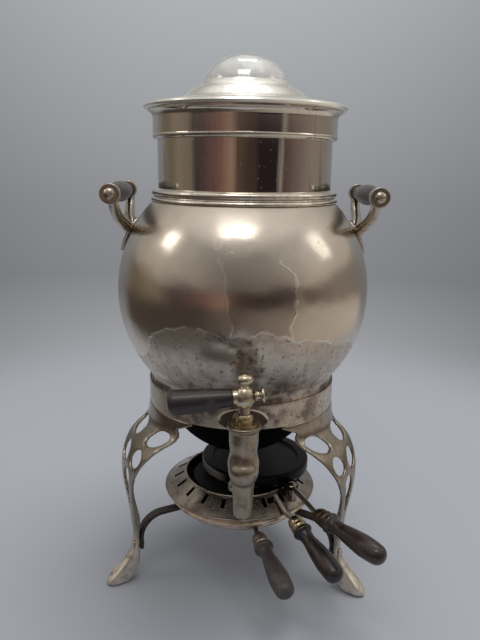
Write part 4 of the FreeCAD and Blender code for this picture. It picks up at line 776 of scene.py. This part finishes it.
def grips():
    """Wooden burner grips, tapered beyond their fullest part."""
    for name in ("carry", "shutter", "snuffer"):
        start = middle_of(name + "_ferrule")
        along = (middle_of(name + "_grip") - start).normalized()
        grip = stand_in(name + "_grip", name + "_turned_grip")
        length = max((vertex.co - start).dot(along) for vertex in grip.data.vertices)

        def end_share(vertex):
            reach = (vertex.co - start).dot(along) / length
            return min(max((reach - GRIP_FULLEST) / (1.0 - GRIP_FULLEST), 0.0), 1.0) ** GRIP_END_POWER

        swell(grip, GRIP_TAPER, end_share)
        bpy.ops.object.shade_smooth_by_angle(angle=GRIP_CREASE)


def camera():
    data = bpy.data.cameras.new("camera")
    data.lens = CAMERA_LENS
    data.sensor_width = CAMERA_SENSOR
    data.clip_start = CAMERA_NEAR
    made = bpy.data.objects.new("camera", data)
    scene.collection.objects.link(made)
    turn = Matrix.Rotation(math.pi / 2 - CAMERA_PITCH, 4, "X") @ Matrix.Rotation(CAMERA_ROLL, 4, "Z")
    made.matrix_world = Matrix.Rotation(CAMERA_SWING, 4, "Z") @ Matrix.Translation(CAMERA_PLACE) @ turn
    scene.camera = made


def lamp(name, place, wide, tall, power, tint=(1.0, 1.0, 1.0)):
    """A rectangular lamp that faces the part."""
    data = bpy.data.lights.new(name, "AREA")
    data.shape = "RECTANGLE"
    data.size = wide
    data.size_y = tall
    data.energy = power
    data.color = tint
    made = bpy.data.objects.new(name, data)
    scene.collection.objects.link(made)
    made.location = place
    made.rotation_euler = (Vector(LIT_POINT) - Vector(place)).to_track_quat("-Z", "Y").to_euler()
    return made


def paper_floor():
    """Pale grey sheet that fades out well away from the part."""
    f = new_finish("paper")
    fibre = f.noise(900.0, 4.0, 0.6)
    colour = f.blend(fibre, (0.41, 0.43, 0.468), (0.43, 0.45, 0.488))
    across, depth = f.axes("XY")
    side = across.size() / (depth + FLOOR_APEX).either(FLOOR_APEX_GAP)
    shown = f.away((0.0, 0.0, 0.0)).step(FLOOR_FADE_END, FLOOR_FADE_START)
    shown = shown * side.step(FLOOR_SIDE_END, FLOOR_SIDE_START)
    return f.surface(
        Base_Color=colour, Roughness=0.85 + 0.05 * fibre, Alpha=shown, Normal=f.bump(fibre, 0.05, 0.0003)
    )


def studio():
    """Floor and lamps: above in front, at both sides and behind, and a soft ceiling."""
    bpy.ops.object.select_all(action="DESELECT")
    bpy.ops.mesh.primitive_circle_add(
        vertices=FLOOR_SIDES, radius=FLOOR_FADE_END, fill_type="NGON", location=(0, 0, 0)
    )
    floor = bpy.context.object
    floor.name = "floor"
    floor.data.materials.append(paper_floor())
    window_tint = (1.0, 0.97, 0.92)
    lamp("overhead", (-0.08, -0.5, 1.05), wide=0.42, tall=0.26, power=1.3, tint=(1.0, 0.98, 0.95))
    lamp("left window", (-0.83, -0.09, 0.76), wide=0.2, tall=0.24, power=0.42, tint=window_tint)
    lamp("right window", (0.84, -0.1, 0.73), wide=0.24, tall=0.34, power=0.28, tint=window_tint)
    lamp("skylight", (0.03, 0.4, 1.4), wide=0.45, tall=0.28, power=1.7, tint=(1.0, 0.98, 0.94))
    ceiling = lamp("ceiling", (0.25, 0.1, 1.6), wide=0.9, tall=0.9, power=11.3)
    ceiling.visible_glossy = False


def surroundings():
    """Grey paper backdrop behind the part, its light and shade painted in: brightest low down, a darker
    band above that, lighter towards the top, and painted shade towards the sides; all round it, a dim room
    that only metal and glass mirror.
    """
    f = Finish(bpy.data.worlds.new("room"))
    scene.world = f.owner
    ray = f.node("ShaderNodeTexCoord", output="Generated")
    x, y, z = f.axes("XYZ", ray)
    azimuth = x.math("ARCTAN2", x, 0.0 - y) / (2 * math.pi) + 0.5
    furniture = f.ramp(
        azimuth,
        (0.08, (0.19, 0.185, 0.175)),
        (0.20, (0.16, 0.135, 0.09)),
        (0.24, (0.23, 0.195, 0.16)),
        (0.295, (0.185, 0.15, 0.125)),
        (0.315, (0.065, 0.05, 0.048)),
        (0.345, (0.075, 0.05, 0.052)),
        (0.41, (0.19, 0.10, 0.09)),
        (0.45, (0.31, 0.20, 0.155)),
        (0.475, (0.10, 0.068, 0.052)),
        (0.515, (0.055, 0.036, 0.031)),
        (0.535, (0.05, 0.035, 0.03)),
        (0.545, (0.02, 0.013, 0.015)),
        (0.612, (0.02, 0.013, 0.015)),
        (0.625, (0.30, 0.27, 0.24)),
        (0.64, (0.09, 0.062, 0.055)),
        (0.70, (0.19, 0.14, 0.125)),
        (0.76, (0.26, 0.22, 0.195)),
        (0.92, (0.22, 0.205, 0.195)),
    )
    upper = f.ramp(
        z,
        (0.0, (0.10, 0.09, 0.08)),
        (0.2, (0.50, 0.46, 0.415)),
        (0.45, (0.62, 0.59, 0.55)),
        (0.8, (0.82, 0.81, 0.78)),
        (1.0, (0.95, 0.95, 0.94)),
    )
    walls = (x * x * 0.75 + x * 0.12 + 0.36).either(z.step(0.45, 0.85))
    upper = f.blend(walls, (0.0, 0.0, 0.0), upper)
    table = f.ramp(
        azimuth,
        (0.1, (0.07, 0.058, 0.048)),
        (0.38, (0.06, 0.05, 0.042)),
        (0.5, (0.17, 0.15, 0.132)),
        (0.66, (0.46, 0.41, 0.36)),
        (0.85, (0.58, 0.54, 0.49)),
    )
    room = f.blend(z.step(0.02, 0.2), furniture, upper)
    room = f.blend(z.step(-0.08, -0.2), room, table)
    # Painted shade that darkens the backdrop towards the left and right.
    sides = (1.0 - 1.7 * x * x).either(0.75)
    # Backdrop grey with painted light and shade by height: brightest low down, a darker band above that,
    # lighter again towards the top.
    paper = f.ramp(
        z + 0.5,
        (0.12, (0.46, 0.475, 0.51)),
        (0.23, (0.345, 0.355, 0.375)),
        (0.335, (0.245, 0.25, 0.265)),
        (0.44, (0.275, 0.28, 0.295)),
        (0.63, (0.375, 0.39, 0.405)),
        (0.75, (0.44, 0.455, 0.465)),
    )
    # The painted shade towards the sides is applied to the backdrop.
    paper = f.blend(sides, (0.0, 0.0, 0.0), paper)
    seen = f.node("ShaderNodeLightPath", output="Is Camera Ray")
    mirrored = f.node("ShaderNodeLightPath", output="Is Glossy Ray")
    through = f.node("ShaderNodeLightPath", output="Is Transmission Ray")
    around = y.step(0.75, 0.45).either(z.step(0.3, 0.5))
    view = f.blend(mirrored * around, paper, room)
    colour = f.blend(seen.either(mirrored).either(through), ROOM_LIGHT, view)
    shader = f.node("ShaderNodeBackground", {}, {"Color": colour, "Strength": 1.0})
    f.node("ShaderNodeOutputWorld", {}, {"Surface": shader})


scene.view_settings.view_transform = "Standard"
camera()
dress(finishes(), special_finishes())
cast_legs()
fittings()
collar_and_lid()
grips()
studio()
surroundings()
